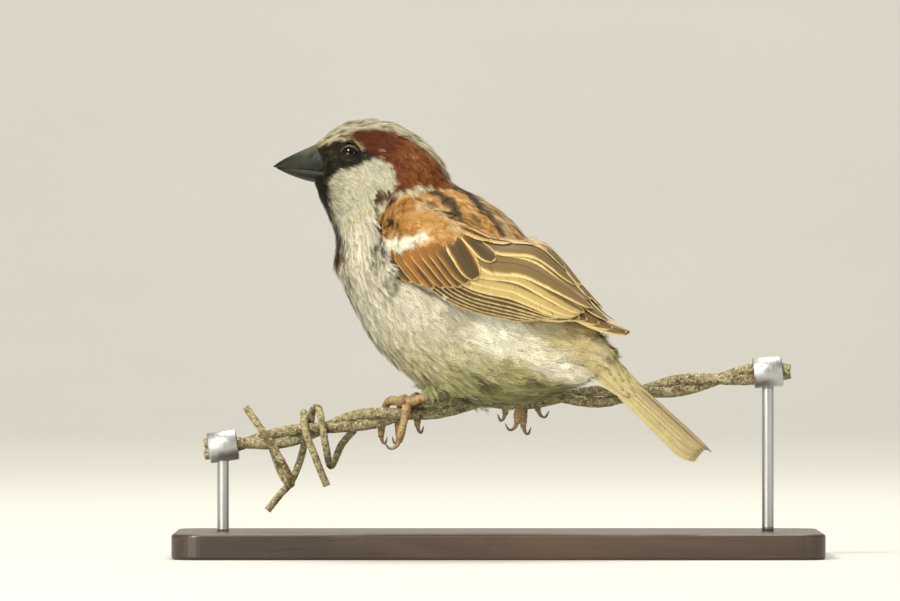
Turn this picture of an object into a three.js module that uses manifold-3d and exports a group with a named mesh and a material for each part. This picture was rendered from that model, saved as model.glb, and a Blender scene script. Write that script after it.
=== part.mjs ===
// A male house sparrow, life size, perched on a cut length of barbed wire.
// Two short rods on a flat base hold the wire. Millimetres, +Z up.
// The origin is the middle of the base's underside, and the perch runs along X.
// The bird faces -X, with its left side towards -Y.

import * as THREE from 'three';
import { mergeVertices } from 'three/addons/utils/BufferGeometryUtils.js';
import Module from 'manifold-3d';

const wasm = await Module();
wasm.setup();

// ---------------------------------------------------------------- dimensions

const GAP = 0.3; // clearance kept between pieces that meet

// The bird's own frame: X runs from head to tail, -Y is its left side.
const HEADING = 18; // degrees that the body is turned from the perch
const BIRD_X = -4.95; // place of the bird's frame on the perch
const BIRD_Y = -6;

// Sections through the body, from the bill to the tail. back and front are the
// [x, z] ends of each section, half its half width, side its offset to the
// right, and turn its angle to the body's own heading.
const BODY_SECTIONS = [
  { name: 'bill base', back: [-47.6, 112.4], front: [-47.2, 103.6], half: 4.4, side: -4.0, turn: 14 },
  { name: 'lores', back: [-45.1, 114.7], front: [-46.0, 100.9], half: 5.6, side: -3.7, turn: 14 },
  { name: 'eyes', back: [-40.6, 118.2], front: [-44.6, 97.6], half: 6.8, side: -3.2, turn: 14 },
  { name: 'crown', back: [-36.0, 120.0], front: [-43.2, 94.4], half: 7.8, side: -2.6, turn: 13 },
  { name: 'ears', back: [-30.6, 120.4], front: [-41.7, 90.9], half: 8.8, side: -1.9, turn: 12 },
  { name: 'hind crown', back: [-24.4, 119.1], front: [-40.8, 87.4], half: 10.2, side: -1.3, turn: 10 },
  { name: 'nape', back: [-18.0, 115.6], front: [-40.9, 83.8], half: 12.0, side: -0.7, turn: 7 },
  { name: 'hind neck', back: [-12.6, 110.4], front: [-41.3, 80.2], half: 13.8, side: -0.3, turn: 4 },
  { name: 'shoulders', back: [-8.4, 103.8], front: [-40.5, 76.9], half: 15.8, side: 0, turn: 1 },
  { name: 'mantle', back: [-1.4, 99.8], front: [-38.5, 72.5], half: 17.2, side: 0, turn: 0 },
  { name: 'breast', back: [4.9, 96.0], front: [-35.3, 66.5], half: 18.0, side: 0, turn: 0 },
  { name: 'middle', back: [10.0, 91.2], front: [-30.7, 59.6], half: 18.2, side: 0, turn: 0 },
  { name: 'belly', back: [14.1, 85.6], front: [-24.3, 53.0], half: 17.6, side: 0, turn: 0 },
  { name: 'flanks', back: [17.9, 80.0], front: [-15.9, 46.8], half: 16.4, side: 0, turn: 0 },
  { name: 'vent', back: [21.6, 74.6], front: [-5.2, 42.8], half: 14.2, side: -0.6, turn: 0 },
  { name: 'under tail', back: [26.0, 69.6], front: [6.4, 42.0], half: 11.8, side: -1.0, turn: 0 },
  { name: 'rump', back: [29.9, 65.6], front: [17.3, 43.9], half: 9.6, side: -0.8, turn: 0 },
  { name: 'tail coverts', back: [33.4, 61.2], front: [26.0, 46.6], half: 7.4, side: -0.6, turn: 0 },
  { name: 'tail base', back: [36.4, 57.4], front: [32.0, 49.6], half: 5.6, side: -0.4, turn: 0 },
];
const SECTION_SQUARENESS = 0.93; // 1 is an ellipse, less is fuller at the corners
const RING_SIDES = 24;
const HEAD_END = 5.5; // section number where the head meets the neck
const NECK_END = 8.2; // section number where the neck meets the trunk
const RINGS_PER_SECTION = 1.15;

const CULMEN_LENGTH = 12.6; // from the base inside the face feathers to the tip
const GONYS_LENGTH = 11.7;
const BILL_BASE = [-45.4, -3.75, 106.0]; // on the cutting edge, in the bird's frame
const BILL_TURN = 14;
const CULMEN_HEIGHT = 7.2;
const GONYS_DEPTH = 3.3;
const BILL_HALF_WIDTH = 3.9;
const BILL_DROOP = 1.15; // how far the tip lies above the level of the gape

const EYE_RADIUS = 2.75;
const EYE_CENTRE = [-36.0, 111.35]; // [x, z] of both eyes
const EYE_APART = 11.6; // between the centres of the two eyes
const HEAD_MIDDLE = -1.9; // the head's own middle plane at the eyes
const HEAD_TURN = 14;

// The folded wing lies between two edges, each from the bend to the tip.
const WING_LOWER_EDGE = [
  [-25.8, -14.4, 82.7], [-18.1, -17.8, 77.8], [-7.5, -19.5, 73.9], [3.4, -19.5, 69.2],
  [15.1, -18.0, 66.5], [26.4, -14.5, 65.1], [36.3, -7.5, 62.9], [43.2, -2.4, 62.1],
];
const WING_UPPER_EDGE = [
  [-24.5, -12.6, 94.2], [-16.8, -14.6, 97.8], [-3.8, -15.0, 93.2], [7.7, -10.5, 87.1],
  [18.1, -2.0, 85.2], [26.4, -1.2, 76.4], [35.0, -1.2, 67.6], [43.5, -1.6, 62.9],
];
const WING_BULGE = [1.0, 2.2, 3.0, 2.6, 1.5, 1.0, 0.6, 0.2];
const WING_THICKNESS = 2.3;
const COVERTS_END = 0.44; // share of the wing's length covered by the coverts
const SECONDARIES_END = 0.83; // where the longest tertial ends
const LAYER_SHARE = 0.42; // share of the depth taken by the secondaries
const LAYER_GAP = 1.4 * GAP; // between them and the primaries beneath
const PRIMARIES_EXTRA = 0.35; // how much deeper the stacked primaries reach
const TIP_REACH = 0.07; // share of the length over which the primaries surface
const SECONDARIES_LOWER = [0.12, 0.74]; // lower limit of v at their start and end
const SECONDARIES_NARROW = 0.66; // where along the wing they start to narrow

const TAIL_BASE = [30.2, -0.4, 59.2];
const TAIL_TIP = [64.5, -0.4, 28.8];
const TAIL_BASE_HALF = 4.0;
const TAIL_HALF = 7.0;
const TAIL_ARCH = 1.6; // how far the outer feathers lie under the middle ones
const TAIL_ROLL = 19; // degrees, left edge down
const TAIL_THICKNESS = 1.5;
const TAIL_NOTCH = 0.9;

const LEG_RADIUS = 1.3;
const TOE_RADIUS = 1.0;
const CLAW_RADIUS = 0.62;
const CLAW_TIP_RADIUS = 0.16;

// The perch: two strands twisted round one middle line.
const WIRE_LINE = [
  [-80.6, 29.6], [-60, 32.7], [-47.6, 35.4], [-40.7, 37.1], [-25.6, 39.3],
  [-6.3, 42.6], [13.8, 43.7], [31, 44.3], [53, 47.6], [72, 50.5], [80.3, 50.9],
];
const STRAND_RADIUS = 1.25;
const STRAND_OFFSET = 1.55; // from the middle line to a strand's own line
const HALF_TWIST = 21.7; // along the perch
const TWIST_START = -47.6; // where the first strand lies in front
const STRAND_STEPS = 42;
const BARB_RADIUS = 1.0;

// The stand.
const BASE_LENGTH = 178;
const BASE_DEPTH = 70;
const BASE_THICKNESS = 7;
const BASE_CORNER = 8;
const ROD_PLACES = [-75.6, 74.2];
const ROD_RADIUS = 1.6;
const SLEEVE_LENGTH = 8;
const SLEEVE_BORE = STRAND_OFFSET + STRAND_RADIUS + GAP;
const SLEEVE_WALL = 1.1;

// ----------------------------------------------------------------- materials

function material(color, roughness, metalness = 0) {
  return new THREE.MeshStandardMaterial({ color, roughness, metalness });
}

const crownFeathers = material(0x8a6a4c, 0.9);
const bodyFeathers = material(0xcfcabb, 0.9);
const wingFeathers = material(0xa0713f, 0.85);
const flightFeathers = material(0x6f5a42, 0.8);
const billHorn = material(0x2f2f33, 0.45);
const eyeGlass = material(0x120c08, 0.08);
const legScales = material(0xa9806a, 0.6);
const clawHorn = material(0x5a463a, 0.45);
const galvanised = material(0x8d8577, 0.75, 0.6);
const steel = material(0x9a9da1, 0.35, 1);
const basePaint = material(0x3a3c3e, 0.6);

// ------------------------------------------------------------------- helpers

const radians = THREE.MathUtils.degToRad;

// A closed skin over a row of rings that all have the same number of points.
function loft(rings) {
  const count = rings[0].length;
  const points = rings.flat();
  const faces = [];
  const around = (ring, i) => ring * count + (i % count);
  for (let ring = 0; ring + 1 < rings.length; ring++) {
    for (let i = 0; i < count; i++) {
      faces.push(around(ring, i), around(ring, i + 1), around(ring + 1, i));
      faces.push(around(ring + 1, i), around(ring, i + 1), around(ring + 1, i + 1));
    }
  }
  // Each end is closed by a strip that runs across its ring.
  for (const [ring, flip] of [[0, true], [rings.length - 1, false]]) {
    for (let low = 0, high = count - 1; low + 1 < high; low++, high--) {
      const strip = [[low, low + 1, high], [low + 1, high - 1, high]];
      for (const corners of low + 1 < high - 1 ? strip : strip.slice(0, 1)) {
        const face = corners.map((i) => around(ring, i));
        faces.push(...(flip ? face.reverse() : face));
      }
    }
  }
  const geometry = new THREE.BufferGeometry();
  geometry.setAttribute('position', new THREE.Float32BufferAttribute(points.flatMap((p) => [...p]), 3));
  geometry.setIndex(faces);
  return facingOut(geometry);
}

function signedVolume(geometry) {
  const position = geometry.getAttribute('position');
  const index = geometry.getIndex();
  const corner = [0, 1, 2].map(() => new THREE.Vector3());
  let volume = 0;
  for (let i = 0; i < index.count; i += 3) {
    corner.forEach((point, k) => point.fromBufferAttribute(position, index.getX(i + k)));
    volume += corner[0].dot(corner[1].clone().cross(corner[2])) / 6;
  }
  return volume;
}

// Turns every face round if the skin is inside out.
function facingOut(geometry) {
  if (signedVolume(geometry) > 0) return geometry;
  const index = geometry.getIndex();
  for (let i = 0; i < index.count; i += 3) {
    const first = index.getX(i);
    index.setX(i, index.getX(i + 1));
    index.setX(i + 1, first);
  }
  return geometry;
}

function toManifold(geometry) {
  const bare = geometry.clone();
  bare.deleteAttribute('normal');
  bare.deleteAttribute('uv');
  const merged = mergeVertices(bare, 1e-4);
  return new wasm.Manifold(new wasm.Mesh({
    numProp: 3,
    vertProperties: new Float32Array(merged.getAttribute('position').array),
    triVerts: new Uint32Array(merged.getIndex().array),
  }));
}

function toGeometry(manifold) {
  const mesh = manifold.getMesh();
  const geometry = new THREE.BufferGeometry();
  geometry.setAttribute('position', new THREE.BufferAttribute(new Float32Array(mesh.vertProperties), 3));
  geometry.setIndex([...mesh.triVerts]);
  return geometry;
}

// The body geometry less the cutters; only its main piece is kept.
function cut(geometry, cutters) {
  let solid = toManifold(geometry);
  for (const cutter of cutters) solid = solid.subtract(toManifold(cutter));
  const pieces = solid.decompose();
  pieces.sort((a, b) => b.volume() - a.volume());
  return toGeometry(pieces[0]);
}

function join(geometries) {
  let solid = toManifold(geometries[0]);
  for (const other of geometries.slice(1)) solid = solid.add(toManifold(other));
  return toGeometry(solid);
}

// A smooth value between the numbers or number lists of a row, at t from 0 to 1.
function along(row, t) {
  const last = row.length - 1;
  const place = t * last;
  const start = Math.min(Math.max(Math.floor(place), 0), last - 1);
  const share = place - start;
  const list = (i) => [row[i]].flat();
  const value = list(start).map((from, k) => {
    const to = list(start + 1)[k];
    const before = start > 0 ? list(start - 1)[k] : 2 * from - to;
    const after = start + 2 <= last ? list(start + 2)[k] : 2 * to - from;
    const leave = (to - before) / 2;
    const arrive = (after - from) / 2;
    const share2 = share * share;
    const share3 = share2 * share;
    return (2 * share3 - 3 * share2 + 1) * from + (share3 - 2 * share2 + share) * leave
      + (3 * share2 - 2 * share3) * to + (share3 - share2) * arrive;
  });
  return Array.isArray(row[0]) ? value : value[0];
}

function mirrored(geometry) {
  const copy = geometry.clone();
  copy.scale(1, -1, 1);
  return facingOut(copy);
}

// A round bar along a curve, with its radius given by a row of values.
function bar(points, radii, sides, steps, grow = 0) {
  const curve = new THREE.CatmullRomCurve3(points);
  const frames = curve.computeFrenetFrames(steps, false);
  const rings = [];
  for (let step = 0; step <= steps; step++) {
    const centre = curve.getPointAt(step / steps);
    const radius = along(radii, step / steps) + grow;
    const ring = [];
    for (let i = 0; i < sides; i++) {
      const angle = (i / sides) * 2 * Math.PI;
      ring.push(centre.clone()
        .addScaledVector(frames.normals[step], radius * Math.cos(angle))
        .addScaledVector(frames.binormals[step], radius * Math.sin(angle)));
    }
    rings.push(ring);
  }
  return loft(rings);
}

function signedPower(value, power) {
  return Math.sign(value) * Math.abs(value) ** power;
}

function piece(parent, name, geometry, finish) {
  const mesh = new THREE.Mesh(geometry, finish);
  mesh.name = name;
  parent.add(mesh);
}

// ------------------------------------------------------------- body and head

// One ring round the body at a section number, which may lie between two.
function bodyRing(number) {
  const t = number / (BODY_SECTIONS.length - 1);
  const value = (key) => along(BODY_SECTIONS.map((section) => section[key]), t);
  const back = value('back');
  const front = value('front');
  const turn = radians(value('turn'));
  const side = value('side');
  const half = value('half');
  const middle = [(back[0] + front[0]) / 2, (back[1] + front[1]) / 2];
  const ring = [];
  for (let i = 0; i < RING_SIDES; i++) {
    const angle = (i / RING_SIDES) * 2 * Math.PI;
    const rise = signedPower(Math.cos(angle), SECTION_SQUARENESS);
    const out = signedPower(Math.sin(angle), SECTION_SQUARENESS) * half;
    const reach = rise * (back[0] - front[0]) / 2;
    ring.push(new THREE.Vector3(
      middle[0] + reach * Math.cos(turn) - out * Math.sin(turn),
      side + reach * Math.sin(turn) + out * Math.cos(turn),
      middle[1] + rise * (back[1] - front[1]) / 2,
    ));
  }
  return ring;
}

// The stretch of the body between two section numbers.
function bodyStretch(from, to) {
  const steps = Math.max(2, Math.round((to - from) * RINGS_PER_SECTION));
  const rings = [];
  for (let step = 0; step <= steps; step++) {
    rings.push(bodyRing(from + ((to - from) * step) / steps));
  }
  return loft(rings);
}

// A point of the head, given ahead of, beside and above the gape's middle.
function onBill(ahead, beside, above) {
  const turn = radians(BILL_TURN);
  return new THREE.Vector3(
    BILL_BASE[0] - ahead * Math.cos(turn) - beside * Math.sin(turn),
    BILL_BASE[1] - ahead * Math.sin(turn) + beside * Math.cos(turn),
    BILL_BASE[2] + above,
  );
}

// One half of the bill: rise is +1 for the upper mandible and -1 for the lower.
function mandible(rise, length, depth, grow) {
  const steps = 7;
  const sides = 12;
  const rings = [];
  for (let step = 0; step <= steps; step++) {
    const t = step / steps;
    const ahead = t * (length + grow) - grow * (1 - t);
    const culmen = 1 - 0.6 * t - 0.4 * t ** 4;
    const gonys = 1 - t ** 1.5;
    const height = 0.25 + depth * (rise > 0 ? culmen : gonys) + 2 * grow;
    const half = 0.3 + BILL_HALF_WIDTH * (1 - t ** 1.35) + grow;
    const edge = BILL_DROOP * t ** 1.4 + (rise * GAP) / 2 - rise * grow;
    const ring = [];
    for (let i = 0; i <= sides; i++) {
      const angle = (i / sides) * Math.PI;
      ring.push(onBill(ahead, half * Math.cos(angle), edge + rise * height * Math.sin(angle) ** 0.85));
    }
    ring.push(onBill(ahead, 0, edge));
    rings.push(ring);
  }
  return loft(rings);
}

// side is -1 for the bird's left eye and +1 for its right one.
function eyeball(side, grow = 0) {
  const geometry = new THREE.SphereGeometry(EYE_RADIUS + grow, 14, 8);
  const turn = radians(HEAD_TURN);
  const out = (side * EYE_APART) / 2;
  geometry.rotateX(Math.PI / 2);
  geometry.translate(
    EYE_CENTRE[0] - out * Math.sin(turn),
    HEAD_MIDDLE + out * Math.cos(turn),
    EYE_CENTRE[1],
  );
  return geometry;
}

// --------------------------------------------------------------------- wings

// A point of the left wing's outer face, u from the bend to the tip and v from
// the lower edge to the upper one.
function wingFace(u, v) {
  const low = along(WING_LOWER_EDGE, u);
  const high = along(WING_UPPER_EDGE, u);
  const bulge = along(WING_BULGE, u);
  const turn = (v * Math.PI) / 2;
  return new THREE.Vector3(
    low[0] + (high[0] - low[0]) * Math.sin(turn),
    low[1] + (high[1] - low[1]) * (1 - Math.cos(turn)) - bulge * Math.sin(v * Math.PI),
    low[2] + (high[2] - low[2]) * Math.sin(turn),
  );
}

// The same point moved towards the body by a depth.
function wingPoint(u, v, depth) {
  const delta = 0.01;
  const alongWing = wingFace(u + delta, v).sub(wingFace(u - delta, v));
  const acrossWing = wingFace(u, v + delta).sub(wingFace(u, v - delta));
  const inward = acrossWing.cross(alongWing).normalize();
  return wingFace(u, v).addScaledVector(inward, depth);
}

// How far the bend is rounded off towards the breast: 1 at its front, then 0.
function bendRound(u) {
  const reach = 0.13; // share of the wing's length that is rounded
  const back = 1 - THREE.MathUtils.clamp(u / reach, 0, 1);
  return 1 - Math.sqrt(1 - back * back);
}

// A slab of the wing between two depths. The v range and depths follow u.
function wingSlab({ from, to, low, high, outer, inner, steps, rows }) {
  const rings = [];
  for (let step = 0; step <= steps; step++) {
    const u = from + ((to - from) * step) / steps;
    const ring = [];
    for (let row = 0; row <= rows; row++) {
      const v = low(u) + ((high(u) - low(u)) * row) / rows;
      ring.push(wingPoint(u, v, outer(u, v)));
    }
    for (let row = rows; row >= 0; row--) {
      const v = low(u) + ((high(u) - low(u)) * row) / rows;
      ring.push(wingPoint(u, v, inner(u, v)));
    }
    rings.push(ring);
  }
  return loft(rings);
}

const ease = THREE.MathUtils.smoothstep;

// The wing is thickest along its middle.
function wingDepth(v) {
  const rim = 0.42;
  const rise = Math.sin(THREE.MathUtils.clamp(v, 0, 1) * Math.PI);
  return WING_THICKNESS * (rim + (1 - rim) * rise);
}

function wingCoverts() {
  return wingSlab({
    from: 0,
    to: COVERTS_END,
    low: () => 0,
    high: () => 1,
    outer: (u, v) => 0.6 * wingDepth(v) * bendRound(u),
    inner: (u, v) => wingDepth(v),
    steps: 7,
    rows: 6,
  });
}

// Tertials and secondaries, which narrow to the longest tertial's tip.
function wingSecondaries() {
  return wingSlab({
    from: COVERTS_END + 0.008,
    to: SECONDARIES_END,
    low: (u) => THREE.MathUtils.lerp(
      ...SECONDARIES_LOWER,
      ease(u, SECONDARIES_NARROW, SECONDARIES_END),
    ),
    high: () => 1,
    outer: () => 0,
    inner: (u, v) => LAYER_SHARE * wingDepth(v),
    steps: 8,
    rows: 6,
  });
}

// The primaries run under the secondaries and alone to the wing's tip.
function wingPrimaries() {
  return wingSlab({
    from: COVERTS_END + 0.008,
    to: 1,
    low: () => 0,
    high: (u) => 0.75 + 0.2 * ease(u, 0.5, 0.95),
    outer: (u, v) => (LAYER_SHARE * wingDepth(v) + LAYER_GAP)
      * (1 - ease(u, SECONDARIES_END, SECONDARIES_END + TIP_REACH)),
    inner: (u, v) => wingDepth(v) + PRIMARIES_EXTRA * (1 - ease(u, SECONDARIES_END, 1)),
    steps: 11,
    rows: 4,
  });
}

// The room that the trunk leaves for the wing and everything outside it.
function wingRoom() {
  return wingSlab({
    from: -0.035,
    to: 1.01,
    low: () => -0.03,
    high: (u) => 1.065 - 0.045 * ease(u, 0, 0.3),
    outer: () => -8,
    inner: (u, v) => wingDepth(v) + GAP
      + PRIMARIES_EXTRA * ease(u, COVERTS_END - TIP_REACH, COVERTS_END),
    steps: 14,
    rows: 6,
  });
}

// ---------------------------------------------------------------------- tail

function tailBlade(grow = 0) {
  const base = new THREE.Vector3(...TAIL_BASE);
  const axis = new THREE.Vector3(...TAIL_TIP).sub(base);
  const length = axis.length();
  axis.normalize();
  const up = new THREE.Vector3(0, 1, 0).cross(axis).normalize().negate();
  const right = axis.clone().cross(up).normalize().negate();
  up.applyAxisAngle(axis, radians(TAIL_ROLL));
  right.applyAxisAngle(axis, radians(TAIL_ROLL));
  const steps = 7;
  const columns = 6;
  const rings = [];
  for (let step = 0; step <= steps; step++) {
    const t = step / steps;
    const half = TAIL_BASE_HALF + (TAIL_HALF - TAIL_BASE_HALF) * ease(t, 0, 0.75) + grow;
    const ring = [];
    for (const face of [1, -1]) {
      for (let column = 0; column <= columns; column++) {
        const across = face * (1 - (2 * column) / columns);
        const run = t * length + (t === 1 ? TAIL_NOTCH * (across ** 2 - 1) : 0) + grow * (2 * t - 1);
        const thinning = (1 - 0.45 * across ** 2) * (1 - 0.35 * t);
        const thick = (TAIL_THICKNESS * thinning) / 2 + grow;
        ring.push(base.clone()
          .addScaledVector(axis, run)
          .addScaledVector(right, across * half)
          .addScaledVector(up, face * thick - TAIL_ARCH * across ** 2));
      }
    }
    rings.push(ring);
  }
  return loft(rings);
}

// ---------------------------------------------------------------------- perch

function wireMiddle(x) {
  const line = new THREE.CatmullRomCurve3(WIRE_LINE.map(([px, pz]) => new THREE.Vector3(px, 0, pz)));
  let low = 0;
  let high = 1;
  while (high - low > 1e-5) {
    const middle = (low + high) / 2;
    if (line.getPoint(middle).x < x) low = middle;
    else high = middle;
  }
  return line.getPoint(low);
}

const WIRE_START = WIRE_LINE[0][0];
const WIRE_END = WIRE_LINE[WIRE_LINE.length - 1][0];

// A strand's line; phase 0 starts in front and phase PI behind.
function strandLine(phase) {
  const points = [];
  for (let step = 0; step <= STRAND_STEPS; step++) {
    const x = WIRE_START + ((WIRE_END - WIRE_START) * step) / STRAND_STEPS;
    const angle = phase + (Math.PI * (x - TWIST_START)) / HALF_TWIST;
    const middle = wireMiddle(x);
    points.push(new THREE.Vector3(
      x,
      -STRAND_OFFSET * Math.cos(angle),
      middle.z - STRAND_OFFSET * Math.sin(angle),
    ));
  }
  return new THREE.CatmullRomCurve3(points);
}

// A wire of one thickness along a curve.
function wire(curve, radius, steps, sides = 8) {
  const section = new THREE.Shape();
  for (let i = 0; i < sides; i++) {
    const angle = (i / sides) * 2 * Math.PI;
    const place = [radius * Math.cos(angle), radius * Math.sin(angle)];
    if (i === 0) section.moveTo(...place);
    else section.lineTo(...place);
  }
  section.closePath();
  return new THREE.ExtrudeGeometry(section, { steps, extrudePath: curve, bevelEnabled: false });
}

const BARB_REACH = STRAND_OFFSET + STRAND_RADIUS + BARB_RADIUS + GAP;

// Each barb is one short wire bent over the strands: [x, share of reach, z].
const BARBS = {
  perch_barb_left: [
    [-69.3, -0.7, 41.1], [-64.8, -1.02, 34.8], [-61.2, -1.05, 29.4], [-57.4, -0.8, 22.4],
    [-57.0, 0, 19.9], [-59.2, 0.8, 22.0], [-61.8, 1.05, 28.5], [-62.8, 1.0, 32.6],
  ],
  perch_barb_middle: [
    [-63.5, 0.9, 12.6], [-60.0, 0.95, 17.0], [-56.8, 0.97, 20.8], [-54.0, 1.05, 28.0],
    [-53.1, 1.1, 34.2], [-53.4, 0, 39.6], [-52.9, -1.1, 34.6], [-50.3, -1.1, 27.8],
    [-48.3, -0.9, 22.6], [-47.0, -0.8, 19.6],
  ],
  perch_barb_right: [
    [-39.6, 1.0, 34.8], [-43.0, 1.08, 30.8], [-45.9, 0.2, 25.0], [-47.2, -1.0, 30.0],
    [-48.2, -1.12, 35.8], [-49.3, -0.3, 40.6], [-51.0, 0.8, 40.2], [-51.6, 1.12, 36.4],
  ],
};

function barb(points) {
  const curve = new THREE.CatmullRomCurve3(
    points.map(([x, share, z]) => new THREE.Vector3(x, share * BARB_REACH, z)),
  );
  return wire(curve, BARB_RADIUS, 15, 7);
}

// ----------------------------------------------------------------------- legs

// Where each foot grips the perch, and how its toes lie. start and spread are
// each toe's shift along the perch at its joint and at its tip, drop is how far
// the tip hangs under the wire's middle, and hook how far its claw bends along.
const FEET = {
  left: {
    grip: -24.8,
    knee: [-17.4, -6.9, 44.9],
    thigh: [[-4, -9.5, 57], [-10.5, -8.8, 50.6], [-16.4, -7.2, 45.5]],
    toes: {
      outer: { start: -2.3, spread: -7.4, drop: 5.4, hook: 1.0 },
      middle: { start: 0, spread: -2.6, drop: 6.0, hook: -1.0 },
      inner: { start: 2.3, spread: 2.6, drop: 4.0, hook: 1.0 },
      hind: { start: -0.5, spread: -2.3, drop: 7.4, hook: -2.4 },
    },
  },
  right: {
    grip: 6.4,
    knee: [7.1, -4.0, 49.0],
    thigh: [[13, -7, 62], [10.5, -6, 55], [7.6, -4.3, 49.4]],
    toes: {
      outer: { start: 2.3, spread: 4.6, drop: 3.4, hook: 1.8 },
      middle: { start: 0, spread: 0.6, drop: 7.9, hook: 1.2 },
      inner: { start: -2.3, spread: -4.4, drop: 4.0, hook: -1.2 },
      hind: { start: -0.3, spread: -1.2, drop: 6.6, hook: -1.9 },
    },
  },
};
const ANKLE = [0, -3.9, 2.9]; // the toes' common joint, from the wire's middle
const HEEL_RISE = 0.9; // from that joint to the end of the leg's bar
const GRIP_REACH = STRAND_OFFSET + STRAND_RADIUS + TOE_RADIUS + 0.15;

function perchPoint(grip, [x, y, z]) {
  return wireMiddle(grip + x).add(new THREE.Vector3(0, y, z));
}

function toeLine(grip, name, { start, spread, drop }) {
  const places = name === 'hind'
    ? [[0, -4.9, 0.9], [0.25, -5.3, -1.6], [0.75, -5.2, -drop * 0.68], [1, -4.8, -drop]]
    : [[0, -2.4, GRIP_REACH * 0.94], [0.5, 0.6, GRIP_REACH * 1.04], [0.8, 3.7, GRIP_REACH * 0.55],
      [0.95, 4.5, -0.9], [1, 3.6, -drop]];
  return places.map(([share, y, z]) => perchPoint(grip, [start + (spread - start) * share, y, z]));
}

function clawLine(tip, hook) {
  return [
    tip.clone().add(new THREE.Vector3(0.1 * hook, 0, -GAP)),
    tip.clone().add(new THREE.Vector3(0.5 * hook, 0, -1.75)),
    tip.clone().add(new THREE.Vector3(1.25 * hook, 0, -1.7)),
    tip.clone().add(new THREE.Vector3(1.75 * hook, 0, 0.1)),
  ];
}

// ------------------------------------------------------------------- assembly

const sparrow = new THREE.Group();
const bird = new THREE.Group();
bird.position.set(BIRD_X, BIRD_Y, 0);
bird.rotation.z = -radians(HEADING);
bird.updateMatrixWorld();
sparrow.add(bird);

const perch = new THREE.Group();
const stand = new THREE.Group();
sparrow.add(perch, stand);

const toBird = (point) => bird.worldToLocal(point.clone());
const worldToBird = bird.matrixWorld.clone().invert();
const inBird = (geometry) => geometry.clone().applyMatrix4(worldToBird);

// The thigh's feathered lower part, from inside the flank to the tarsus.
function thigh(foot, grow = 0) {
  const points = foot.thigh.map((place) => toBird(new THREE.Vector3(...place)));
  return bar(points, [5.2, 4.6, 2.3], 12, 5, grow);
}

// The bare leg from the toes' joint to the feathers.
function tarsus(foot, grow = 0) {
  const ankle = perchPoint(foot.grip, ANKLE);
  const top = new THREE.Vector3(...foot.knee);
  const shin = top.clone().sub(ankle).normalize();
  const heel = ankle.clone().addScaledVector(shin, HEEL_RISE);
  const middle = heel.clone().lerp(top, 0.5);
  const radii = [LEG_RADIUS * 1.15, LEG_RADIUS, LEG_RADIUS * 1.1];
  return bar([heel, middle, top].map(toBird), radii, 10, 5, grow);
}

function addLeg(side, foot) {
  piece(bird, `tarsus_${side}`, tarsus(foot), legScales);
  for (const [name, toe] of Object.entries(foot.toes)) {
    const line = toeLine(foot.grip, name, toe);
    const radii = [0.95, 1.05, 0.85, 1.0, 0.7].map((share) => share * TOE_RADIUS);
    piece(bird, `toe_${side}_${name}`, bar(line.map(toBird), radii, 7, 6), legScales);
    const nail = clawLine(line[line.length - 1], toe.hook).map(toBird);
    const nailRadii = [CLAW_RADIUS, CLAW_RADIUS * 0.8, CLAW_TIP_RADIUS];
    piece(bird, `claw_${side}_${name}`, bar(nail, nailRadii, 6, 4), clawHorn);
  }
}

const wireHollow = inBird(bar(
  [-60, -30, -10, 10, 30, 60].map((x) => wireMiddle(x)),
  [SLEEVE_BORE, SLEEVE_BORE],
  16,
  24,
));
const footHollow = new THREE.SphereGeometry(1, 16, 10);
footHollow.scale(7.4, 6.6, 4.9);
footHollow.translate(6.6, -1.8, 45.0);

const bothSides = (make) => [make(), mirrored(make())];
const wingRooms = bothSides(wingRoom);
const upperBill = (grow) => mandible(1, CULMEN_LENGTH, CULMEN_HEIGHT, grow);
const lowerBill = (grow) => mandible(-1, GONYS_LENGTH, GONYS_DEPTH, grow);
const billRoom = [upperBill(GAP), lowerBill(GAP)];
const legRooms = Object.values(FEET).flatMap((foot) => [thigh(foot, GAP), tarsus(foot, GAP)]);

const eyeRoom = [eyeball(-1, GAP), eyeball(1, GAP)];
piece(bird, 'head', cut(bodyStretch(0, HEAD_END), [...billRoom, ...eyeRoom]), crownFeathers);
piece(bird, 'neck', cut(bodyStretch(HEAD_END + 0.05, NECK_END), wingRooms), bodyFeathers);
piece(bird, 'trunk', cut(
  bodyStretch(NECK_END + 0.05, BODY_SECTIONS.length - 1),
  [...wingRooms, ...legRooms, tailBlade(GAP), wireHollow, inBird(footHollow)],
), bodyFeathers);
piece(bird, 'bill_upper', upperBill(0), billHorn);
piece(bird, 'bill_lower', lowerBill(0), billHorn);
piece(bird, 'eye_left', eyeball(-1), eyeGlass);
piece(bird, 'eye_right', eyeball(1), eyeGlass);

const wingParts = {
  coverts: [wingCoverts, wingFeathers],
  secondaries: [wingSecondaries, wingFeathers],
  primaries: [wingPrimaries, flightFeathers],
};
for (const [name, [make, finish]] of Object.entries(wingParts)) {
  const [left, right] = bothSides(make);
  piece(bird, `wing_left_${name}`, left, finish);
  piece(bird, `wing_right_${name}`, right, finish);
}
piece(bird, 'tail', tailBlade(), flightFeathers);

for (const [side, foot] of Object.entries(FEET)) {
  piece(bird, `thigh_${side}`, cut(thigh(foot), [wireHollow]), bodyFeathers);
  addLeg(side, foot);
}

piece(perch, 'perch_strand_first', wire(strandLine(0), STRAND_RADIUS, STRAND_STEPS, 7), galvanised);
piece(perch, 'perch_strand_second', wire(strandLine(Math.PI), STRAND_RADIUS, STRAND_STEPS, 7), galvanised);
for (const [name, points] of Object.entries(BARBS)) {
  piece(perch, name, barb(points), galvanised);
}

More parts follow.
